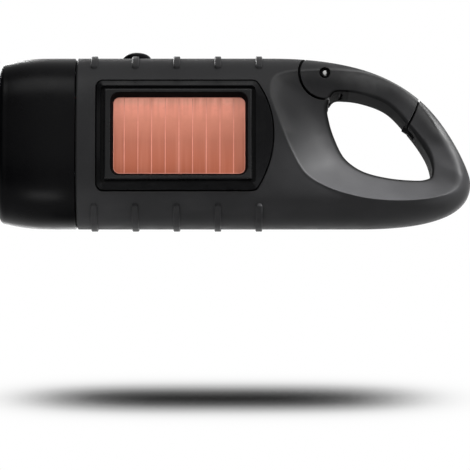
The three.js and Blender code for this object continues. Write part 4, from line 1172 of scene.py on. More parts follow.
@dataclass(frozen=True)
class Circuit(Finish):
    """A board with a solder mask, tracks below it and small bright pads."""

    pads: Colour = tone(196, 178, 120)
    pitch: float = 2.6
    jitter: float = 0.4
    track: Pair = (0.36, 0.44)
    pad: Pair = (0.10, 0.14)

    def paint(self, sheet: Sheet) -> Socket:
        """Mask, tracks and pads.

        Args:
            sheet: The material's nodes.

        Returns:
            The colour.
        """
        cells = sheet.voronoi(self.pitch, "Distance", self.jitter, distance="CHEBYCHEV",
                              feature="F1")
        masked = sheet.mix(sheet.span(cells, 1.0, 0.0, *self.track), self.tint, self.colour)
        return sheet.mix(sheet.span(cells, 1.0, 0.0, *self.pad), masked, self.pads)


@dataclass(frozen=True)
class Sleeve(Finish):
    """A cell's shrink sleeve, with bare metal at its ends."""

    bare: Colour = tone(188, 186, 180)
    wave: float = 24.0
    wobble: float = 1.5
    band: Pair = (0.90, 0.96)

    def paint(self, sheet: Sheet) -> Socket:
        """Coloured round the middle and bare metal at the ends.

        Args:
            sheet: The material's nodes.

        Returns:
            The colour.
        """
        ground = super().paint(sheet)
        ends = sheet.span(sheet.waves(self.wave, self.wobble, "Z"), 0.0, 1.0, *self.band)
        return sheet.mix(ends, ground, self.bare)


@dataclass(frozen=True)
class Winding(Finish):
    """Enamelled wire laid in turns."""

    wave: float = 2.17
    wobble: float = 0.4

    def relief(self, sheet: Sheet) -> Socket:
        """The height of the turns of wire."""
        return sheet.waves(self.wave, self.wobble, "Y")


@dataclass(frozen=True)
class Clear(Finish):
    """Clear moulded plastic with faint flow marks."""

    through: float = 1.0
    bend: float = 1.49

    def special(self, sheet: Sheet) -> None:
        """Lets light through."""
        sheet.shader.inputs["Transmission Weight"].default_value = self.through
        sheet.shader.inputs["IOR"].default_value = self.bend


HEAD = Finish("black_satin", tone(2, 2, 3), tone(6, 6, 7), 0.3, 0.04, 0.3, 0.003, 11.0,
              specular=0.05, edge=0.25, wear=0.25, wear_and_highlight=tone(40, 40, 42))
# The shell's pale tone on the crest is partly wear and partly a painted highlight.
SHELL = Finish("grey_matte", tone(31, 31, 32), tone(38, 38, 39), 0.54, 0.05, 0.22, 0.005, 9.0,
               specular=0.1, edge=0.3, wear=0.35, wear_and_highlight=tone(92, 92, 92), rub_and_highlight_amount=0.6)
FRAME = Finish("black_gloss", tone(11, 11, 12), tone(18, 18, 19), 0.3, 0.05, 0.5, 0.002, 7.0,
               specular=0.04, edge=0.18, wear=0.3, wear_and_highlight=tone(46, 46, 48))
# The rim's pale edge tone is a painted highlight.
RIM = Finish("rim_gloss", tone(12, 12, 13), tone(20, 20, 21), 0.3, 0.05, 0.5, 0.002, 7.0,
             specular=0.13, edge=0.2, wear=0.8, wear_and_highlight=tone(140, 140, 142))
WELL = Finish("black_matte", tone(5, 5, 6), tone(10, 10, 11), 0.85, 0.05, 0.3, 0.006, 6.0,
              specular=0.03)
BUTTON = Finish("button_black", tone(3, 3, 4), tone(7, 7, 8), 0.34, 0.05, 0.4, 0.002, 4.0,
                specular=0.03, edge=0.15, wear=0.15, wear_and_highlight=tone(22, 22, 23))
CELL = Silicon("copper_cell", tone(204, 130, 108), tone(176, 108, 88), 0.34, 0.05, 0.5, 0.002, 6.0,
               specular=0.12)
FOIL = Finish("cell_foil", tone(232, 156, 138), tone(216, 140, 121), 0.4, 0.08, 0.2, 0.004, 2.0,
              specular=0.2)
RUBBER = Finish("seal_rubber", tone(24, 24, 25), tone(33, 33, 34), 0.78, 0.08, 0.18, 0.02, 3.0,
                specular=0.3)
MIRROR = Turned("chromed_cup", tone(226, 228, 230), tone(206, 209, 213), 0.1, 0.05, 1.2, 0.004, 5.0,
                metallic=1.0)
STEEL = Turned("drawn_steel", tone(172, 172, 170), tone(140, 140, 140), 0.3, 0.1, 0.25, 0.008, 2.5,
               metallic=1.0, edge=0.12)
BRASS = Turned("cut_brass", tone(205, 170, 96), tone(176, 138, 70), 0.3, 0.1, 0.2, 0.01, 2.0,
               metallic=1.0)
COPPER = Winding("enamelled_copper", tone(186, 98, 48), tone(146, 66, 32), 0.34, 0.08, 0.3, 0.12,
                 2.0, specular=0.5, coat=0.4)
NYLON = Finish("milky_nylon", tone(226, 222, 208), tone(208, 203, 188), 0.42, 0.08, 0.3, 0.012, 4.0,
               specular=0.45)
BOARD = Circuit("green_board", tone(18, 84, 48), tone(34, 120, 70), 0.36, 0.06, 0.3, 0.02, 4.0)
SLEEVE = Sleeve("cell_sleeve", tone(36, 92, 132), tone(28, 76, 112), 0.36, 0.08, 0.4, 0.01, 5.0)
RED_LEAD = Finish("red_lead", tone(188, 34, 28), tone(160, 26, 22), 0.42, 0.08, 0.2, 0.01, 3.0)
BLACK_LEAD = Finish("black_lead", tone(24, 24, 26), tone(36, 36, 38), 0.46, 0.08, 0.2, 0.01, 3.0)
LENS = Clear("clear_lens", tone(244, 248, 250), tone(236, 242, 246), 0.04, 0.02, 6.0, 0.002, 14.0)
LAMP = Clear("lamp_resin", tone(250, 226, 128), tone(246, 238, 196), 0.14, 0.05, 0.8, 0.004, 2.0,
             through=0.55, bend=1.5)

BY_SLOT: dict[str, Finish] = {
    "shell": SHELL, "head": HEAD, "frame": FRAME, "button": BUTTON, "cell": CELL, "lens": LENS,
    "rubber": RUBBER, "mirror": MIRROR, "led": LAMP, "board": BOARD, "nylon": NYLON,
    "steel": STEEL, "battery": SLEEVE, "brass": BRASS, "copper": COPPER,
    "red_lead": RED_LEAD, "black_lead": BLACK_LEAD}


def deliver(piece: Piece, finish: Finish, slot: str, *nodes: str, body: str = HOUSING,
            angle: float = 32.0) -> None:
    """Shades and dresses a piece, and says what it rides on and stands for.

    Args:
        piece: The piece.
        finish: Its surface.
        slot: Material slot of the record; not used.
        nodes: CAD nodes that it stands for.
        body: Name of the body that it moves with.
        angle: Edges sharper than this stay sharp.
    """
    shade(piece, angle)
    piece.data.materials.clear()
    piece.data.materials.append(finish.build())
    if nodes:
        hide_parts(*nodes)
    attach(piece, body)
    LOG.info("%s: %d faces on %s, for %s", piece.name, len(piece.data.polygons), body,
             ", ".join(nodes) or "no node")


class Recipe(Graph):
    """A Geometry Nodes tree with named inputs."""

    def __init__(self, name: str) -> None:
        """Starts an empty tree that takes and gives geometry.

        Args:
            name: Name of the tree.
        """
        super().__init__(bpy.data.node_groups.new(name, "GeometryNodeTree"))
        self.tree.is_modifier = True
        for way in ("OUTPUT", "INPUT"):
            self.tree.interface.new_socket("Geometry", in_out=way,
                                           socket_type="NodeSocketGeometry")
        self.enter = self.tree.nodes.new("NodeGroupInput")
        self.leave = self.tree.nodes.new("NodeGroupOutput")
        self.values: dict[str, object] = {}

    def ask(self, name: str, kind: str, value: object) -> Socket:
        """Adds a named input and remembers its value.

        Args:
            name: Name of the input.
            kind: Socket type.
            value: The value that this piece uses.

        Returns:
            The socket inside the tree.
        """
        self.tree.interface.new_socket(name, in_out="INPUT", socket_type=kind)
        self.values[name] = value
        return self.enter.outputs[name]

    def run(self, name: str, geometry: Socket, finish: Finish,
            carrier: Optional[bpy.types.Mesh] = None) -> Piece:
        """Closes the tree, applies it and turns the result into a plain mesh.

        Args:
            name: The piece's name.
            geometry: What the tree makes.
            finish: Its surface.
            carrier: Mesh that the tree starts from, where it needs one.

        Returns:
            The piece.
        """
        material = self.ask("Material", "NodeSocketMaterial", finish.build())
        real = self.add("GeometryNodeRealizeInstances", {0: geometry})
        dressed = self.add("GeometryNodeSetMaterial", {"Geometry": real.outputs[0],
                                                       "Material": material})
        self.tree.links.new(dressed.outputs[0], self.leave.inputs[0])
        piece = link_piece(name, carrier or bpy.data.meshes.new(name))
        modifier = piece.modifiers.new("repeat", "NODES")
        modifier.node_group = self.tree
        for item in self.tree.interface.items_tree:
            if item.in_out == "INPUT" and item.name in self.values:
                modifier[item.identifier] = self.values[item.name]
        return settle(piece)

    def copies(self, name: str, shape: Piece, points: Socket, finish: Finish,
               carrier: Optional[bpy.types.Mesh] = None, **turn: Socket) -> Piece:
        """Sets a copy of a shape on each point.

        Args:
            name: The piece's name.
            shape: The shape, which is removed.
            points: Where the copies go.
            finish: Their surface.
            carrier: Mesh that the tree starts from, where it needs one.
            turn: Rotation of the copies, where they are turned.

        Returns:
            The piece.
        """
        source = self.add("GeometryNodeObjectInfo",
                          {"Object": self.ask("Shape", "NodeSocketObject", shape)})
        made = self.add("GeometryNodeInstanceOnPoints", {
            "Points": points, "Instance": source.outputs["Geometry"], **turn})
        piece = self.run(name, made.outputs[0], finish, carrier)
        drop(shape)
        return piece


def repeat_along(name: str, shape: Piece, count: int, step: Triple,
                 finish: Finish) -> Piece:
    """Copies a shape in a straight row.

    Args:
        name: The piece's name.
        shape: First copy, in its place; it is removed.
        count: Number of copies.
        step: Millimetres from one copy to the next.
        finish: Surface of the copies.

    Returns:
        The piece.
    """
    recipe = Recipe(name + "_row")
    number = recipe.ask("Count", "NodeSocketInt", count)
    offset = recipe.ask("Step", "NodeSocketVector", tuple(s * MILLIMETRE for s in step))
    row = recipe.add("GeometryNodeMeshLine", {"Count": number, "Offset": offset}, mode="OFFSET")
    return recipe.copies(name, shape, row.outputs[0], finish)


def repeat_at(name: str, shape: Piece, places: Sequence[Triple], axis: Triple,
              finish: Finish, spread: float = 0.0, seed: int = 7) -> Piece:
    """Copies a shape to places, each turned a little differently.

    Args:
        name: The piece's name.
        shape: The shape round the origin of the frame; it is removed.
        places: Where the copies go, in millimetres of the light.
        axis: Axis of the turns.
        finish: Surface of the copies.
        spread: Largest turn in degrees.
        seed: Seed of the turns.

    Returns:
        The piece.
    """
    recipe = Recipe(name + "_places")
    limit = recipe.ask("Spread", "NodeSocketFloat", math.radians(spread))
    number = recipe.ask("Seed", "NodeSocketInt", seed)
    chance = recipe.add("FunctionNodeRandomValue", {"Seed": number}, data_type="FLOAT")
    angle = recipe.sum(Sum.MULTIPLY, chance.outputs["Value"], limit)
    turn = recipe.add("FunctionNodeAxisAngleToRotation", {"Axis": axis, "Angle": angle})
    carrier = bpy.data.meshes.new(name)
    carrier.from_pydata(to_frame(places).tolist(), [], [])
    return recipe.copies(name, shape, recipe.enter.outputs["Geometry"], finish, carrier,
                         Rotation=turn.outputs[0])


def read(rows: bpy.types.bpy_prop_collection, name: str, width: int, kind: type = float
         ) -> Points:
    """Reads one property of all the points, corners or faces of a mesh.

    Args:
        rows: The points, corners or faces.
        name: The property.
        width: How many numbers it has.
        kind: What kind of numbers.

    Returns:
        The numbers, in rows where there is more than one.
    """
    values = np.zeros(len(rows) * width, kind)
    rows.foreach_get(name, values)
    return values.reshape(-1, width) if width > 1 else values


def true_shade(piece: Piece, form: BodyForm, side: Optional[Side] = None) -> None:
    """Gives the skin its exact directions, and the shares that its finish reads.

    Args:
        piece: Shaded piece cut from the body.
        form: The body.
        side: Its half, or both where there is none.
    """
    near, thin, lip, facing_least = 0.02, 3.0, 1.0, 0.8
    mesh = piece.data
    corner = read(mesh.corner_normals, "vector", 3)
    x, y, z = ((read(mesh.vertices, "co", 3) - ORIGIN) / MILLIMETRE).T
    index = read(mesh.loops, "vertex_index", 1, int)
    facing = np.repeat(read(mesh.polygons, "normal", 3),
                       read(mesh.polygons, "loop_total", 1, int), axis=0)
    depth = form.depth(x, z)
    for half in (Side if side is None else (side,)):
        on_skin = (np.abs(y * half.value - depth) < near) & (depth > thin)
        on_skin &= x > form.start + lip
        lean = form.lean(x, z, half)[index]
        chosen = on_skin[index] & (np.sum(lean * facing, axis=1) > facing_least)
        corner[chosen] = lean[chosen]
    mesh.normals_split_custom_set(corner.tolist())
    for name, share in form.shares(x, y, z).items():
        layer = mesh.attributes.new(name, "FLOAT", "POINT")
        layer.data.foreach_set("value", share.astype(np.float32))


@dataclass(frozen=True)
class CrossScrew:
    """A screw with a low round head and a cross recess, pointing to the front.

    The crown and the recess are given as shares of the head's radius and thickness.
    """

    radius: float
    thick: float
    shank: float
    length: float
    point: float = 0.7
    crown: Rows = ((1.0, 1.0), (1.0, 0.35), (0.92, 0.12), (0.7, 0.0), (0.0, 0.0))
    recess: Triple = (0.62, 0.13, 0.6)
    sides: int = 40

    def build(self, name: str) -> Piece:
        """Makes the screw.

        Args:
            name: The piece's name.

        Returns:
            The screw, with the top of its head at the origin of the frame.
        """
        tip = -self.thick - self.length
        profile = [(0.0, tip), (self.shank * self.point, tip), (self.shank, tip + self.shank),
                   (self.shank, -self.thick)]
        profile += [(self.radius * share, -self.thick * down) for share, down in self.crown]
        screw = turned(name, profile, Axis.DEEP, (0, 0, 0), self.sides)
        reach, half = (self.radius * share for share in self.recess[:2])
        deep = -self.thick * self.recess[2]
        combine(screw, [block("slot", (-reach, deep, -half), (reach, 1, half)),
                        block("slot", (-half, deep, -reach), (half, 1, reach))])
        move(screw, -ORIGIN)
        return screw


@dataclass
class Housing:
    """The two shells of the grip and tail, their ribs and screws."""

    form: BodyForm
    seam: float = 0.06
    wall: float = 2.0
    overlap: float = 0.5
    cavity: Pair = (25.5, 79.0)
    front_wall: float = 12.2
    back_wall: float = 9.0
    deck: float = 11.0
    deck_radius: float = 39.3
    bearing: float = 4.9
    bearing_start: float = 5.0
    rib_start: float = 27.5
    rib_step: float = 11.85
    rib_count: int = 5
    rib_width: float = 1.9
    rib_rise: float = 0.6
    rib_root: float = 0.5
    rib_soft: float = 0.2
    rib_slim: Pair = (0.55, 0.45)
    rib_rings: int = 41
    rib_top: float = 19.7
    rib_bottom: float = 19.3
    rib_tip: float = 4.0
    screw_bore: float = 1.15
    well: float = 2.4
    well_floor: float = 1.5
    well_reach: float = 12.0
    screw: CrossScrew = CrossScrew(2.1, 1.5, 1.1, 13.0)
    screw_spread: float = 80.0
    screw_seed: int = 11
    screw_places: Sequence[Triple] = (
        (27.0, 10.3, 18.5), (27.0, 10.3, -18.5), (80.5, 10.3, 17.7), (80.5, 10.3, -17.7),
        (116.96, 7.4, -18.57))

    def build(self, panel: "SolarPanel", gate: "Gate", button: "PushButton") -> None:
        """Makes the shells and what is fixed to them. The gate's cuts come last.

        Args:
            panel: Gives the pocket of the solar panel.
            gate: Gives the room for the gate.
            button: Gives the hole of the button.
        """
        cuts = (button.hole, gate.spring_hole, gate.room, gate.throat)
        for side, low, high, tools in (
                (Side.FRONT, -self.front_wall, self.overlap, [panel.pocket()]),
                (Side.BACK, -self.overlap, self.back_wall, self.deck_tools())):
            word = side.name.lower()
            shell = self.form.half(word + "_housing", side, self.seam)
            hollow = self.form.bar("hollow", *self.cavity, self.wall)
            room = block("room", (0, low, -PAST_Z), (self.form.length, high, PAST_Z))
            combine(shell, [combine(hollow, [room], Joint.SHARE), *tools,
                            *(cut(word) for cut in cuts)])
            deliver(shell, SHELL, "shell", word + "_shell")
            true_shade(shell, self.form, side)
        self.build_ribs()
        self.build_screws()

    def deck_tools(self) -> list[Piece]:
        """What cuts the deck of the crank, its bearing hole and the screw holes.

        Returns:
            The tools.
        """
        tools = [post("deck", (HUB, 0), self.deck_radius, self.deck, PAST_Y, 160),
                 block("deck_tail", (HUB, self.deck, -PAST_Z), (PAST_X, PAST_Y, PAST_Z)),
                 post("bearing", (HUB, 0), self.bearing, self.bearing_start, PAST_Y)]
        for x, y, z in self.screw_places:
            floor = y - self.well_floor
            profile = [(self.screw_bore, y - self.well_reach), (self.screw_bore, floor),
                       (self.well, floor), (self.well, y + self.well_reach)]
            tools.append(turned("screw_well", profile, Axis.DEEP, (x, 0, z), 40))
        return tools

    def rib(self, start: float, end: float) -> Piece:
        """The first rib over a part of the grip, with rounded tips.

        Args:
            start: Angle from the top, in degrees, at which it starts.
            end: Angle at which it ends.

        Returns:
            The rib.
        """
        half, soft, power = self.rib_width / 2, self.rib_soft, 2 / self.form.power
        rings = []
        for turn in np.linspace(start, end, self.rib_rings):
            near = min(turn - start, end - turn, self.rib_tip) / self.rib_tip
            tip = math.sqrt(1 - (1 - near) ** 2)
            rise = self.rib_rise * tip
            slim = half * (self.rib_slim[0] + self.rib_slim[1] * tip)
            rows = [(-slim, -self.rib_root), (-slim, rise - soft), (soft - slim, rise),
                    (slim - soft, rise), (slim, rise - soft), (slim, -self.rib_root)]
            sine, cosine = math.sin(math.radians(turn)), math.cos(math.radians(turn))
            rings.append(np.array([[
                self.rib_start + x,
                (self.form.half_depth + up) * math.copysign(abs(sine) ** power, sine),
                (self.form.half_height + up) * math.copysign(abs(cosine) ** power, cosine)]
                for x, up in rows]))
        return loft("rib", rings)

    def rib_turn(self, height: float) -> float:
        """The angle from the top or bottom at which the grip has a height."""
        return math.degrees(math.acos((height / self.form.half_height) ** (self.form.power / 2)))

    def build_ribs(self) -> None:
        """Repeats the rib along the grip."""
        back = math.degrees(math.asin((self.deck / self.form.half_depth) ** (self.form.power / 2)))
        pair = merge("rib_pair", [self.rib(-self.rib_turn(self.rib_top), back),
                                  self.rib(180 - back, 180 + self.rib_turn(self.rib_bottom))])
        ribs = repeat_along("grip_ribs", pair, self.rib_count, (self.rib_step, 0, 0), SHELL)
        deliver(ribs, SHELL, "shell")

    def build_screws(self) -> None:
        """Sets the housing screws into their wells."""
        screws = repeat_at("housing_screws", self.screw.build("screw"), self.screw_places,
                           (0.0, 1.0, 0.0), STEEL, self.screw_spread, self.screw_seed)
        nodes = [f"housing_screw_{i + 1}" for i in range(len(self.screw_places))]
        deliver(screws, STEEL, "steel", *nodes)


@dataclass
class Head:
    """The oval head: bezel, lens, seal, reflector with three cups and three lamps.

    Rows hold a place along the light and an inset from the grip's section.
    """

    form: BodyForm
    back: float = 22.2
    back_edge: Rows = ((0.4, 0.0), (0.1, 0.12), (0.0, 0.4))
    lip: float = 4.2
    lip_edge: float = 0.2
    lip_depth: float = 2.4
    bore: float = 2.2
    round_radius: float = 2.0
    swell_end: float = 14.0
    swell: float = 1.4
    lens_rows: Rows = ((2.75, 4.6), (2.6, 3.4), (2.75, 2.6), (4.4, 2.6), (4.5, 2.75))
    seal_rows: Rows = ((4.9, 2.6), (4.8, 2.9), (4.8, 3.9), (5.0, 4.1), (5.6, 4.1), (5.8, 3.9),
                       (5.8, 2.6))
    flange: Pair = (6.1, 7.6)
    flange_insets: Pair = (2.8, 2.65)
    flange_edge: float = 0.15
    cup_places: Sequence[float] = (-14.0, 0.0, 14.0)
    cup_radius: float = 6.4
    cup_end: float = 16.0
    cup_wall: float = 0.5
    cup_lip: Pair = (0.05, 0.1)
    cup_shares: Rows = (
        (0.0, 1.0), (0.15, 0.972), (0.3, 0.93), (0.45, 0.867), (0.6, 0.78), (0.7, 0.71),
        (0.8, 0.62), (0.9, 0.54), (1.0, 0.453))
    lamp_radius: float = 2.5
    lamp_span: Pair = (10.6, 16.2)
    lamp_foot: float = 0.8

    def build(self) -> None:
        """Makes every piece of the head."""
        self.build_bezel()
        self.build_lens()
        self.build_reflector()
        self.build_lamps()

    def build_bezel(self) -> None:
        """The bezel, with its rounded rim, swelling side and chamfered back."""
        soft, start = self.round_radius, self.swell + self.round_radius
        rows = [(0.0, self.lip - self.lip_edge)]
        rows += [(soft * (1 - cosine), start - soft * sine) for sine, cosine in quarter(8)]
        rows += [(soft + (self.swell_end - soft) * share, self.swell * (1 - share) ** 2)
                 for share in np.linspace(0, 1, 13)[1:]]
        rows += [(self.back - before, inset) for before, inset in self.back_edge]
        rows += [(self.back, self.bore), (self.lip_depth, self.bore), (self.lip_depth, self.lip),
                 (self.lip_edge, self.lip)]
        bezel = loft("head_shell", self.form.rings(rows, 240), closed=True)
        deliver(bezel, HEAD, "head", "head_bezel")

    def build_lens(self) -> None:
        """The clear front plate and the seal behind it."""
        lens = loft("front_lens", self.form.rings(self.lens_rows, 160))
        deliver(lens, LENS, "lens", "lens")
        ring = loft("lens_seal", self.form.rings(self.seal_rows, 160), closed=True)
        deliver(ring, RUBBER, "rubber", "lens_gasket")

    def build_reflector(self) -> None:
        """The chromed plate with its three cups."""
        (low, high), (edge, side) = self.flange, self.flange_insets
        plate = loft("cup_plate", self.form.rings(
            [(low, edge), (low + self.flange_edge, side), (high, side)], 160))
        combine(plate, [turned("hole", [(self.cup_radius, 0), (self.cup_radius, PAST_Y)],
                               Axis.ALONG, (0, 0, z)) for z in self.cup_places])
        inner = [(self.cup_radius * share, low + along * (self.cup_end - low))
                 for along, share in self.cup_shares]
        outer = [(radius + self.cup_wall, x) for radius, x in reversed(inner)]
        outer[-1] = (self.cup_radius + self.cup_lip[0], low + self.cup_lip[1])
        cups = [turned("cup", inner + outer, Axis.ALONG, (0, 0, z), closed=True)
                for z in self.cup_places]
        deliver(merge("three_cup_reflector", [plate, *cups]), MIRROR, "mirror", "reflector")

    def build_lamps(self) -> None:
        """The three domed lamps in the cups."""
        radius, (low, high) = self.lamp_radius, self.lamp_span
        profile = [(0.0, low)]
        profile += [(radius * sine, low + radius * (1 - cosine)) for sine, cosine in
                    quarter(11)[1:]]
        profile += [(radius, high - self.lamp_foot), (radius, high), (0.0, high)]
        lamp = turned("lamp", profile, Axis.ALONG, (0, 0, 0), 48)
        move(lamp, -ORIGIN)
        lamps = repeat_at("three_lamps", lamp, [(0, 0, z) for z in self.cup_places],
                          (1.0, 0.0, 0.0), LAMP)
        deliver(lamps, LAMP, "led", "led_1", "led_2", "led_3")


@dataclass
class SolarPanel:
    """The black frame with its raised rim, and the cell with its ten strips.

    A rounded rectangle has a left end, a right end, half a height and a corner's radius.
    Rows hold how much it grows and a depth in front of the middle plane, or a drop below
    the rim's plane.
    """

    form: BodyForm
    left: float = 28.4
    right: float = 73.9
    half: float = 15.8
    corner: float = 1.8
    bow_centre: float = 51.44
    bow_radius: float = 27.46
    plane: float = 19.2
    bevel: float = 1.7
    edge_show: float = 0.3
    edge_drop: float = 0.05
    groove: Oblong = (29.5, 73.9, 13.95, 1.0)
    groove_floor: float = 17.0
    rim: Oblong = (30.5, 72.9, 13.1, 0.5)
    rim_plane: float = 20.4
    rim_root: float = 14.0
    rim_edge: Rows = ((0.0, 0.7), (-0.1, 0.36), (-0.3, 0.1), (-0.6, 0.0))
    mouth_edge: Rows = ((0.35, 0.0), (0.25, 0.1))
    window_inset: float = 0.5
    mouth: Oblong = (32.6, 71.4, 11.85, 2.2)
    well_edge: Rows = ((0.28, 0.15), (0.05, 0.25))
    throat: Oblong = (33.15, 70.95, 11.05, 1.8)
    throat_plane: float = 16.6
    throat_grow: float = 0.9
    sag: float = 0.15
    cell_back: float = 14.3
    cell_edge: Rows = ((0.85, 0.06), (0.8, 0.01))
    pocket_floor: float = 13.9
    pocket_gap: float = 0.38
    foot: float = 0.1
    strip_start: float = 36.3
    strip_step: float = 3.914
    strip_count: int = 9
    strip_half: float = 0.1
    strip_depths: Pair = (0.05, -0.2)
    border: Rows = ((-0.05, 0.2), (-0.05, -0.04), (-0.22, -0.04), (-0.22, 0.2))

    def outline(self, grow: float) -> Points:
        """The frame's outline with its bowed tab.

        Args:
            grow: How much larger it is.

        Returns:
            Rows of x and z.
        """
        low = self.half - self.corner
        reach = math.sqrt((self.bow_radius - self.corner) ** 2 - low ** 2)
        turn = math.degrees(math.atan2(low, reach))
        radius = max(self.corner + grow, 0.05)
        near, far = self.left + self.corner, self.bow_centre + reach
        top = arc((far, low), radius, turn, 90, 8)
        corner_top = arc((near, low), radius, 90, 180, 8)
        corner_low = arc((near, -low), radius, 180, 270, 8)
        bottom = arc((far, -low), radius, 270, 360 - turn, 8)
        bow = arc((self.bow_centre, 0), self.bow_radius + grow, -turn, turn, 60)[1:-1]
        return np.concatenate([top, between(top[-1], corner_top[0], 30), corner_top,
                               between(corner_top[-1], corner_low[0], 30), corner_low,
                               between(corner_low[-1], bottom[0], 30), bottom, bow])

    def line(self, shape: Oblong, grow: float = 0.0) -> Points:
        """A rounded rectangle of the panel, a little below the middle line."""
        return rounded(*shape, grow) - np.array([0.0, self.sag])

    def ledges(self, shape: Oblong, rows: Rows) -> list[Points]:
        """Rings of one rectangle at pairs of a growth and a depth."""
        return [at_depth(self.line(shape, grow), depth) for grow, depth in rows]

    def pocket(self) -> Piece:
        """The pocket that the frame sits in."""
        return prism("pocket", self.outline(self.pocket_gap), -PAST_Y, -self.pocket_floor)

    def build(self) -> None:
        """Makes the frame, the cell and the lines between its strips."""
        self.build_frame()
        self.build_rim()
        self.build_cell()

    def build_frame(self) -> None:
        """The frame's bevelled plate with its groove and window."""
        outer = self.outline(0.0)
        show = self.form.skin(outer[:, 0], outer[:, 1]) + self.edge_show
        wall = np.minimum(show, self.plane - self.edge_drop)
        plate = loft("panel_frame_face", [
            at_depth(outer, self.pocket_floor + self.foot),
            np.column_stack([outer[:, 0], -wall, outer[:, 1]]),
            at_depth(self.outline(-self.bevel), self.plane)])
        combine(plate, [
            prism("groove", self.line(self.groove), -PAST_Y, -self.groove_floor),
            prism("window", self.line(self.rim, -self.window_inset), -PAST_Y, 0)])
        deliver(plate, FRAME, "frame", "panel_frame")

    def build_rim(self) -> None:
        """The raised rim, and the dark well that slopes from it to the cell."""
        root, (mouth_grow, _) = self.rim_root, self.mouth_edge[-1]
        rim = loft("raised_rim", [
            *self.ledges(self.rim, [(0.0, root), *below(self.rim_plane, self.rim_edge)]),
            *self.ledges(self.mouth, [*below(self.rim_plane, self.mouth_edge),
                                      (mouth_grow, root)])], closed=True)
        deliver(rim, RIM, "frame", "panel_frame")
        well = loft("panel_well", [
            *self.ledges(self.mouth, [(self.well_edge[0][0], root),
                                      *below(self.rim_plane, self.well_edge)]),
            *self.ledges(self.throat, [(0.0, self.throat_plane),
                                       (self.throat_grow, self.throat_plane),
                                       (self.throat_grow, root)])], closed=True)
        deliver(well, WELL, "frame")
        for piece in (rim, well):
            piece.visible_shadow = False

    def build_cell(self) -> None:
        """The cell, the lines between its strips and the line round it."""
        rows = [(self.cell_edge[0][0], self.cell_back), *below(self.throat_plane, self.cell_edge)]
        cell = loft("copper_cell_plate", self.ledges(self.throat, rows))
        deliver(cell, CELL, "cell", "solar_cell")
        strip = (self.strip_start - self.strip_half, self.strip_start + self.strip_half,
                 self.throat[2], 0.02)
        near, far = self.strip_depths
        line = prism("line", self.line(strip), -self.throat_plane - near, -self.throat_plane - far)
        lines = repeat_along("strip_lines", line, self.strip_count, (self.strip_step, 0, 0), FOIL)
        rows = below(self.throat_plane, self.border)
        border = loft("border", self.ledges(self.throat, rows), closed=True)
        deliver(merge("cell_lines", [lines, border]), FOIL, "cell")


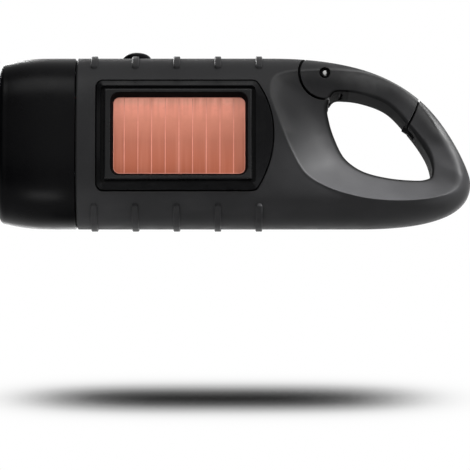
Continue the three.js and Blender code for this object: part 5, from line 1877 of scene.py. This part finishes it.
@dataclass
class Gate:
    """The spring gate of the carabiner, its hinge pin and its coil spring.

    A band has an outer arc round the hinge, an inner one that leads back, each with its
    radius, first and last turn, and half its width.
    """

    form: BodyForm
    root: float = 7.0
    reach: float = 28.0
    start: float = -47.0
    end: float = 80.0
    gap: float = 0.55
    root_gap: float = 0.75
    room_turn: float = 6.0
    lug_turns: Pair = (140.0, 268.0)
    lug_overlap: float = 0.5
    lug_half: float = 5.2
    slot_half: float = 5.65
    slot_gap: float = 0.3
    tongue: Band = ((30.6, -30.0, -21.5), (27.0, -21.5, -30.0), 2.5)
    tongue_slot: Band = ((31.2, -42.0, -20.6), (27.55, -20.6, -42.0), 3.1)
    lip: Band = ((28.95, -34.0, -14.75), (27.0, -12.4, -34.0), 1.2)
    lip_slot: Band = ((29.25, -60.0, -14.6), (27.5, -13.4, -60.0), 1.6)
    bore: float = 1.3
    recess: float = 1.6
    recess_depth: float = 8.7
    eyelet: float = 1.05
    sunk: float = 0.9
    pin_ends: Rows = ((0.0, 0.0), (0.55, 0.12), (1.0, 0.6))
    spring_room: float = 2.8
    spring_half: float = 1.7
    spring_gap: float = 0.3
    coil_turns: float = 5.5
    coil_radius: float = 1.85
    coil_height: float = 2.6
    wire_radius: float = 0.2

    @property
    def pivot(self) -> Pair:
        """The middle of the hinge, as x and z."""
        return self.form.hinge

    @property
    def axle(self) -> Triple:
        """Where the hinge's axis crosses the middle plane."""
        return self.pivot[0], 0.0, self.pivot[1]

    def band(self, name: str, band: Band, steps: int) -> Piece:
        """A bent bar round the hinge, between the two arcs of a band."""
        outline = np.concatenate([arc(self.pivot, *turns, steps) for turns in band[:2]])
        return prism(name, outline, -band[2], band[2])

    def room(self, name: str) -> Piece:
        """The room of the gate in a shell, without the hinge lug.

        Args:
            name: Name of the shell's side.

        Returns:
            The cutting tool.
        """
        space = sector(self.pivot, self.root + self.root_gap, self.reach + self.gap,
                       self.start - self.room_turn, self.end)
        lug = sector(self.pivot, self.root - self.lug_overlap, self.root + self.root_gap,
                     *self.lug_turns)
        return combine(prism("gate_room_" + name, space, -PAST_Y, PAST_Y),
                       [prism("lug", lug, -self.lug_half, self.lug_half)])

    def throat(self, name: str) -> Piece:
        """The slot of the gate's tongue and lip in the nose of the hook."""
        slot = self.band("tongue_slot_" + name, self.tongue_slot, 20)
        return combine(slot, [self.band("lip_slot", self.lip_slot, 40)], Joint.UNITE)

    def spring_hole(self, name: str) -> Piece:
        """The hole of the pin and the room of the spring in the lug."""
        half = self.spring_half + self.spring_gap
        return turned("pin_hole_" + name, [
            (self.bore, -PAST_PIN), (self.bore, -half), (self.spring_room, -half),
            (self.spring_room, half), (self.bore, half), (self.bore, PAST_PIN)],
            Axis.DEEP, self.axle, 48)

    def build(self) -> None:
        """Makes the arm, the pin and the spring."""
        span = sector(self.pivot, self.root, self.reach, self.start, self.end)
        arm = combine(self.form.blank("spring_gate"), [prism("cut", span, -PAST_Y, PAST_Y)],
                      Joint.SHARE)
        combine(arm, [self.band("tongue", self.tongue, 16), self.band("lip", self.lip, 24)],
                Joint.UNITE)
        side = [(self.recess, PAST_PIN), (self.recess, self.recess_depth),
                (self.eyelet, self.recess_depth)]
        profile = [(radius, -y) for radius, y in side] + side[::-1]
        combine(arm, [post("slot", self.pivot, self.root + self.slot_gap, -self.slot_half,
                           self.slot_half, 96),
                      turned("eyelet", profile, Axis.DEEP, self.axle, 48)])
        deliver(arm, SHELL, "shell", "gate_arm", body="gate")
        true_shade(arm, self.form)
        self.build_pin()
        self.build_spring()

    def build_pin(self) -> None:
        """The hinge pin with its riveted ends."""
        end = float(self.form.depth(*map(np.array, self.pivot))) - self.sunk
        side = below(end, self.pin_ends)
        profile = [(radius, -y) for radius, y in side] + side[::-1]
        pin = turned("hinge_pin", profile, Axis.DEEP, self.axle, 48)
        deliver(pin, STEEL, "steel", "gate_pin")

    def build_spring(self) -> None:
        """The coil spring round the pin, wound by its number of turns."""
        recipe = Recipe("gate_coil")
        turns = recipe.ask("Turns", "NodeSocketFloat", self.coil_turns)
        radius, height, wire = (
            recipe.ask(name, "NodeSocketFloat", size * MILLIMETRE) for name, size in (
                ("Coil radius", self.coil_radius), ("Height", self.coil_height),
                ("Wire radius", self.wire_radius)))
        spiral = recipe.add("GeometryNodeCurveSpiral", {
            "Resolution": 28, "Rotations": turns, "Start Radius": radius, "End Radius": radius,
            "Height": height})
        section = recipe.add("GeometryNodeCurvePrimitiveCircle", {"Resolution": 10, "Radius": wire})
        tube = recipe.add("GeometryNodeCurveToMesh", {
            "Curve": spiral.outputs[0], "Profile Curve": section.outputs[0], "Fill Caps": True})
        start = to_frame([self.pivot[0], self.coil_height / 2, self.pivot[1]])
        placed = recipe.add("GeometryNodeTransform", {
            "Geometry": tube.outputs[0], "Translation": tuple(start),
            "Rotation": (math.radians(90), 0.0, 0.0)})
        spring = seal(recipe.run("gate_coil_spring", placed.outputs[0], STEEL), 0.0005)
        deliver(spring, STEEL, "steel", "gate_spring", angle=60.0)


@dataclass
class PushButton:
    """The domed push button on the top of the grip."""

    place: float = 39.5
    radius: float = 4.4
    gap: float = 0.3
    side: float = 24.3
    top: float = 26.65
    crown: float = 0.8
    flange: float = 5.4
    flange_low: float = 20.8
    flange_high: float = 21.7

    def hole(self, name: str) -> Piece:
        """The button's hole through the top of a shell."""
        profile = [(self.radius + self.gap, self.flange_low), (self.radius + self.gap, PAST_Z)]
        return turned("button_hole_" + name, profile, Axis.UP, (self.place, 0, 0), 64)

    def build(self) -> None:
        """Makes the cap: flange, wall and crowned top."""
        profile = [(0.0, self.flange_low), (self.flange, self.flange_low),
                   (self.flange, self.flange_high), (self.radius, self.flange_high),
                   (self.radius, self.side)]
        profile += [(self.radius * cosine ** self.crown,
                     self.side + (self.top - self.side) * sine) for sine, cosine in
                    quarter(15)[1:]]
        cap = turned("push_cap", profile, Axis.UP, (self.place, 0, 0))
        deliver(cap, BUTTON, "button", "button_cap", body="button", angle=40.0)


@dataclass
class Crank:
    """The folding crank on the back: its arm, its knob and its screw.

    Edges are pairs of a growth or a radius and a drop below the arm's low or high side, or
    a distance from the knob's end. The dent is a rounded rectangle.
    """

    hub_radius: float = 8.0
    end: float = 32.0
    end_radius: float = 7.5
    low: float = 11.6
    high: float = 18.4
    low_edge: Rows = ((-0.5, 0.0), (-0.15, -0.1), (0.0, -0.5))
    high_edge: Rows = ((0.0, 1.0), (-0.13, 0.5), (-0.5, 0.13), (-1.0, 0.0))
    slot: Oblong = (27.3, 47.6, 4.7, 0.8)
    slot_span: Pair = (5.0, 25.0)
    dent: Oblong = (50.4, 53.2, 4.3, 1.3)
    dent_edge: Rows = ((-0.5, 0.9), (0.0, 0.5))
    dent_top: Pair = (0.1, 20.0)
    sink_edge: Rows = ((3.9, 2.15), (3.9, 0.3), (4.3, -0.1))
    screw: CrossScrew = CrossScrew(3.6, 1.8, 1.2, 6.0)
    screw_top: float = 18.1
    knob_depth: float = 16.2
    knob_radius: float = 4.2
    knob_span: Pair = (32.4, 47.0)
    knob_edge: Rows = ((3.4, 0.0), (3.95, 0.25), (4.2, 0.8))
    knob_bore: float = 1.7
    knob_cup: Pair = (2.7, 2.1)
    ring_ends: Pair = (2.6, 2.8)
    ring_count: int = 5
    ring_rows: Rows = ((0.0, -0.55), (-0.22, -0.3), (-0.22, 0.3), (0.0, 0.55))

    def hull(self, grow: float) -> Points:
        """The arm's outline: two circles and the lines that touch both.

        Args:
            grow: How much larger it is.

        Returns:
            Rows of x and z.
        """
        lean = math.degrees(math.asin((self.hub_radius - self.end_radius) / (HUB - self.end)))
        turn = 90 + lean
        right = arc((HUB, 0), self.hub_radius + grow, -turn, turn, 48)
        left = arc((self.end, 0), self.end_radius + grow, turn, 360 - turn, 48)
        return np.concatenate([right, between(right[-1], left[0], 12), left,
                               between(left[-1], right[0], 12)])

    def build(self) -> None:
        """Makes the arm, the knob and the screw."""
        rows = [*below(self.low, self.low_edge), *below(self.high, self.high_edge)]
        arm = loft("crank_lever", [at_depth(self.hull(grow), -y) for grow, y in rows])
        rows = [*below(self.high, self.dent_edge), self.dent_top]
        hollow = loft("hollow", [at_depth(rounded(*self.dent, grow), -y) for grow, y in rows])
        profile = [*below(self.high, self.sink_edge), (self.sink_edge[-1][0], self.slot_span[1])]
        sink = turned("sink", profile, Axis.DEEP, (HUB, 0, 0), 64)
        combine(arm, [prism("slot", rounded(*self.slot), *self.slot_span), hollow, sink])
        deliver(arm, SHELL, "shell", "crank_arm", body="crank")
        self.build_knob()
        screw = self.screw.build("crank_bolt")
        move(screw, to_frame([HUB, self.screw_top, 0]))
        deliver(screw, STEEL, "steel", "crank_screw", body="crank")

    def build_knob(self) -> None:
        """The knob, with shallow rings for the fingers."""
        start, end = self.knob_span
        cup, floor = self.knob_cup
        profile = [(self.knob_bore, start)]
        profile += [(radius, start + along) for radius, along in self.knob_edge]
        for ring in np.linspace(start + self.ring_ends[0], end - self.ring_ends[1],
                                self.ring_count):
            profile += [(self.knob_radius + out, ring + along) for out, along in self.ring_rows]
        profile += below(end, self.knob_edge[::-1])
        profile += [(cup, end), (cup, end - floor), (self.knob_bore, end - floor)]
        knob = turned("finger_knob", profile, Axis.ALONG, (0, self.knob_depth, 0), closed=True)
        deliver(knob, HEAD, "head", "knob", body="knob", angle=40.0)


class Innards:
    """The CAD solids that keep their shape and only get their finish."""

    def build(self) -> None:
        """Dresses each CAD node that no piece stands for."""
        slots = {part["node"]: part["material_slot"] for part in frame["record"]["subparts"]}
        for node, solid in frame["nodes"].items():
            finish = BY_SLOT[slots[node]]
            solid.data.materials.clear()
            solid.data.materials.append(finish.build())
            LOG.info("%s: CAD solid in %s", node, finish.name)


@dataclass(frozen=True)
class Lamp:
    """A soft square lamp, or a spot where it has a cone in degrees.

    Its size, its bulb and its places from the middle of the light are in metres.
    """

    name: str
    place: Triple
    power: float
    size: Pair = (0.0, 0.0)
    aim: Triple = (0.0, 0.0, 0.0)
    cone: float = 0.0
    bulb: float = 0.012

    def hang(self, middle: Points) -> None:
        """Hangs the lamp, unseen by the camera itself.

        Args:
            middle: The middle of the light, in the row frame.
        """
        data = bpy.data.lights.new(self.name, "SPOT" if self.cone else "AREA")
        data.energy = self.power
        if self.cone:
            data.spot_size, data.spot_blend = math.radians(self.cone), 1.0
            data.shadow_soft_size = self.bulb
        else:
            data.shape = "RECTANGLE"
            data.size, data.size_y = self.size
        lamp = link_piece(self.name, data)
        lamp.location = Vector(middle) + Vector(self.place)
        way = Vector(self.aim) - Vector(self.place)
        lamp.rotation_euler = way.to_track_quat("-Z", "Y").to_euler()
        lamp.visible_camera = False


@dataclass
class Studio:
    """Camera, lamps, white surroundings and the pale floor under the light.

    Distance, width, the places of lamps and the shadow's are in metres.
    """

    distance: float = 1.5
    elevation: float = -8.0
    width: float = 0.136
    middle: float = 68.0
    drop: float = 26.29
    clip_end: float = 20.0
    floor_height: float = -76.0
    floor_tilt: float = 14.0
    floor_ends: Pair = (-420.0, 560.0)
    floor_sides: Pair = (-110.0, 130.0)
    floor_patch: float = 60.0
    floor_greys: Pair = (0.80, 0.84)
    shadow_middle: Pair = (-0.0029, 0.0142)
    shadow_reach: Pair = (0.0545, 0.0168)
    shadow_powers: Pair = (3.8, 2.0)
    shadow_back: float = 0.5
    shadow_look: float = 0.12
    shadow_rays: int = 48
    shadow_read: Pair = (0.82, 0.95)
    shadow_tones: Rows = ((0.0, 255.0), (0.25, 202.0), (0.5, 150.0), (0.75, 97.0), (1.0, 44.0))
    surround: float = 0.42
    dark_side: float = 0.05
    dark_read: Pair = (-0.5, -0.08)
    lamps: Sequence[Lamp] = (
        Lamp("key", (0.0, -0.53, 0.85), 6.2, (0.9, 0.4)),
        Lamp("fill", (-0.1, -1.15, 0.25), 2.4, (1.4, 1.0)),
        Lamp("top", (-0.4, 0.85, 0.5), 9.0, (0.5, 0.3)),
        Lamp("side", (0.9, -0.25, 0.4), 3.5, (0.3, 0.3)),
        Lamp("back", (0.2, 1.1, 0.1), 5.0, (0.9, 0.7)),
        Lamp("head_strip", (-0.057, -0.045, -0.062), 0.0095, (0.03, 0.014), (-0.057, 0.0, 0.0)),
        Lamp("tail_spot", (0.2295, -0.1162, 0.115), 26.5, aim=(0.042, -0.0212, -0.02), cone=13.0))

    def build(self) -> None:
        """Sets everything up."""
        bpy.context.scene.view_settings.view_transform = "Standard"
        self.build_camera()
        self.build_world()
        self.build_floor()
        for lamp in self.lamps:
            lamp.hang(to_frame([self.middle, 0, 0]))

    def build_camera(self) -> None:
        """A long lens, a little below the light and level along it."""
        step = math.radians(self.elevation)
        toward = np.array([0.0, -math.cos(step), math.sin(step)])
        up = np.array([0.0, math.sin(step), math.cos(step)])
        aim = to_frame([self.middle, 0, 0]) - up * self.drop * MILLIMETRE
        data = bpy.data.cameras.new("camera")
        data.sensor_fit = "HORIZONTAL"
        data.lens = data.sensor_width * self.distance / self.width
        data.clip_end = self.clip_end
        camera = link_piece("camera", data)
        camera.location = Vector(aim + toward * self.distance)
        camera.rotation_euler = Vector(-toward).to_track_quat("-Z", "Y").to_euler()
        bpy.context.scene.camera = camera

    def build_world(self) -> None:
        """White where seen, darker to the left in gloss, and plain where it lights."""
        world = bpy.data.worlds.new("surroundings")
        world.use_nodes = True
        bpy.context.scene.world = world
        graph = Graph(world.node_tree)
        ground = graph.tree.nodes["Background"]
        graph.join((1.0, 1.0, 1.0), ground.inputs["Color"])
        seen = graph.add("ShaderNodeLightPath").outputs
        place = graph.add("ShaderNodeTexCoord").outputs["Generated"]
        way = graph.add("ShaderNodeSeparateXYZ", {0: place}).outputs["X"]
        gloss = graph.span(way, self.dark_side, 1.0, *self.dark_read)
        level = graph.span(seen["Is Glossy Ray"], self.surround, gloss)
        for name in ("Is Camera Ray", "Is Transmission Ray"):
            level = graph.sum(Sum.MAXIMUM, level, seen[name])
        graph.join(level, ground.inputs["Strength"])

    def build_floor(self) -> None:
        """A pale floor with a painted soft shadow, clear from below."""
        tilt = math.tan(math.radians(self.floor_tilt))
        (left, right), heights = self.floor_ends, [
            (y, self.floor_height + y * tilt) for y in self.floor_sides]
        points = [(left, *heights[0]), (right, *heights[0]), (right, *heights[1]),
                  (left, *heights[1])]
        floor = new_piece("floor", np.array(points), [(0, 1, 2, 3)])
        sheet = Sheet("pale_floor")
        light, dark = ((grey, grey, grey) for grey in self.floor_greys)
        sheet.join(sheet.mix(sheet.noise(self.floor_patch), light, dark),
                   sheet.shader.inputs["Base Color"])
        sheet.shader.inputs["Roughness"].default_value = 0.9
        shown = sheet.add("ShaderNodeEmission", {"Color": self.shadow(sheet), "Strength": 1.0})
        path = sheet.add("ShaderNodeLightPath").outputs
        seen = sheet.sum(Sum.MAXIMUM, sheet.sum(
            Sum.MAXIMUM, path["Is Camera Ray"], path["Is Glossy Ray"]),
            path["Is Transmission Ray"])
        front = sheet.add("ShaderNodeMixShader", {0: seen, 1: sheet.shader.outputs[0],
                                                  2: shown.outputs[0]})
        clear = sheet.add("ShaderNodeBsdfTransparent")
        rear = sheet.add("ShaderNodeNewGeometry").outputs["Backfacing"]
        whole = sheet.add("ShaderNodeMixShader", {0: rear, 1: front.outputs[0],
                                                  2: clear.outputs[0]})
        sheet.join(whole.outputs[0], sheet.tree.nodes["Material Output"].inputs[0])
        floor.data.materials.append(sheet.material)

    def shadow(self, sheet: Sheet) -> Socket:
        """The floor's colour: white, but for the shadow, which fades out.

        Args:
            sheet: The floor's nodes.

        Returns:
            The colour.
        """
        veil = sheet.add("ShaderNodeAmbientOcclusion", {"Distance": self.shadow_look},
                         samples=self.shadow_rays)
        near = sheet.span(veil.outputs["AO"], 1.0, 0.0, *self.shadow_read)
        along, back = (
            sheet.sum(Sum.POWER, sheet.sum(Sum.ABSOLUTE, sheet.sum(
                Sum.DIVIDE, sheet.sum(Sum.SUBTRACT, sheet.axis(name), middle), reach)), power)
            for name, middle, reach, power in
            zip("XY", self.shadow_middle, self.shadow_reach, self.shadow_powers))
        total = sheet.sum(Sum.ADD, along, sheet.sum(Sum.MULTIPLY, back, self.shadow_back))
        share = sheet.sum(Sum.POWER, math.e, sheet.sum(Sum.MULTIPLY, total, -1.0))
        return sheet.shades(sheet.sum(Sum.MULTIPLY, near, share), [
            (stop, tone(grey, grey, grey)) for stop, grey in self.shadow_tones])


def main() -> None:
    """Builds the sub-assemblies in order."""
    logging.basicConfig(level=logging.INFO, format="%(name)s: %(message)s")
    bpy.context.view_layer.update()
    form = BodyForm()
    Innards().build()
    panel, gate, button = SolarPanel(form), Gate(form), PushButton()
    Housing(form).build(panel, gate, button)
    Head(form).build()
    panel.build()
    gate.build()
    button.build()
    Crank().build()
    Studio().build()


if __name__ == "__main__":
    main()
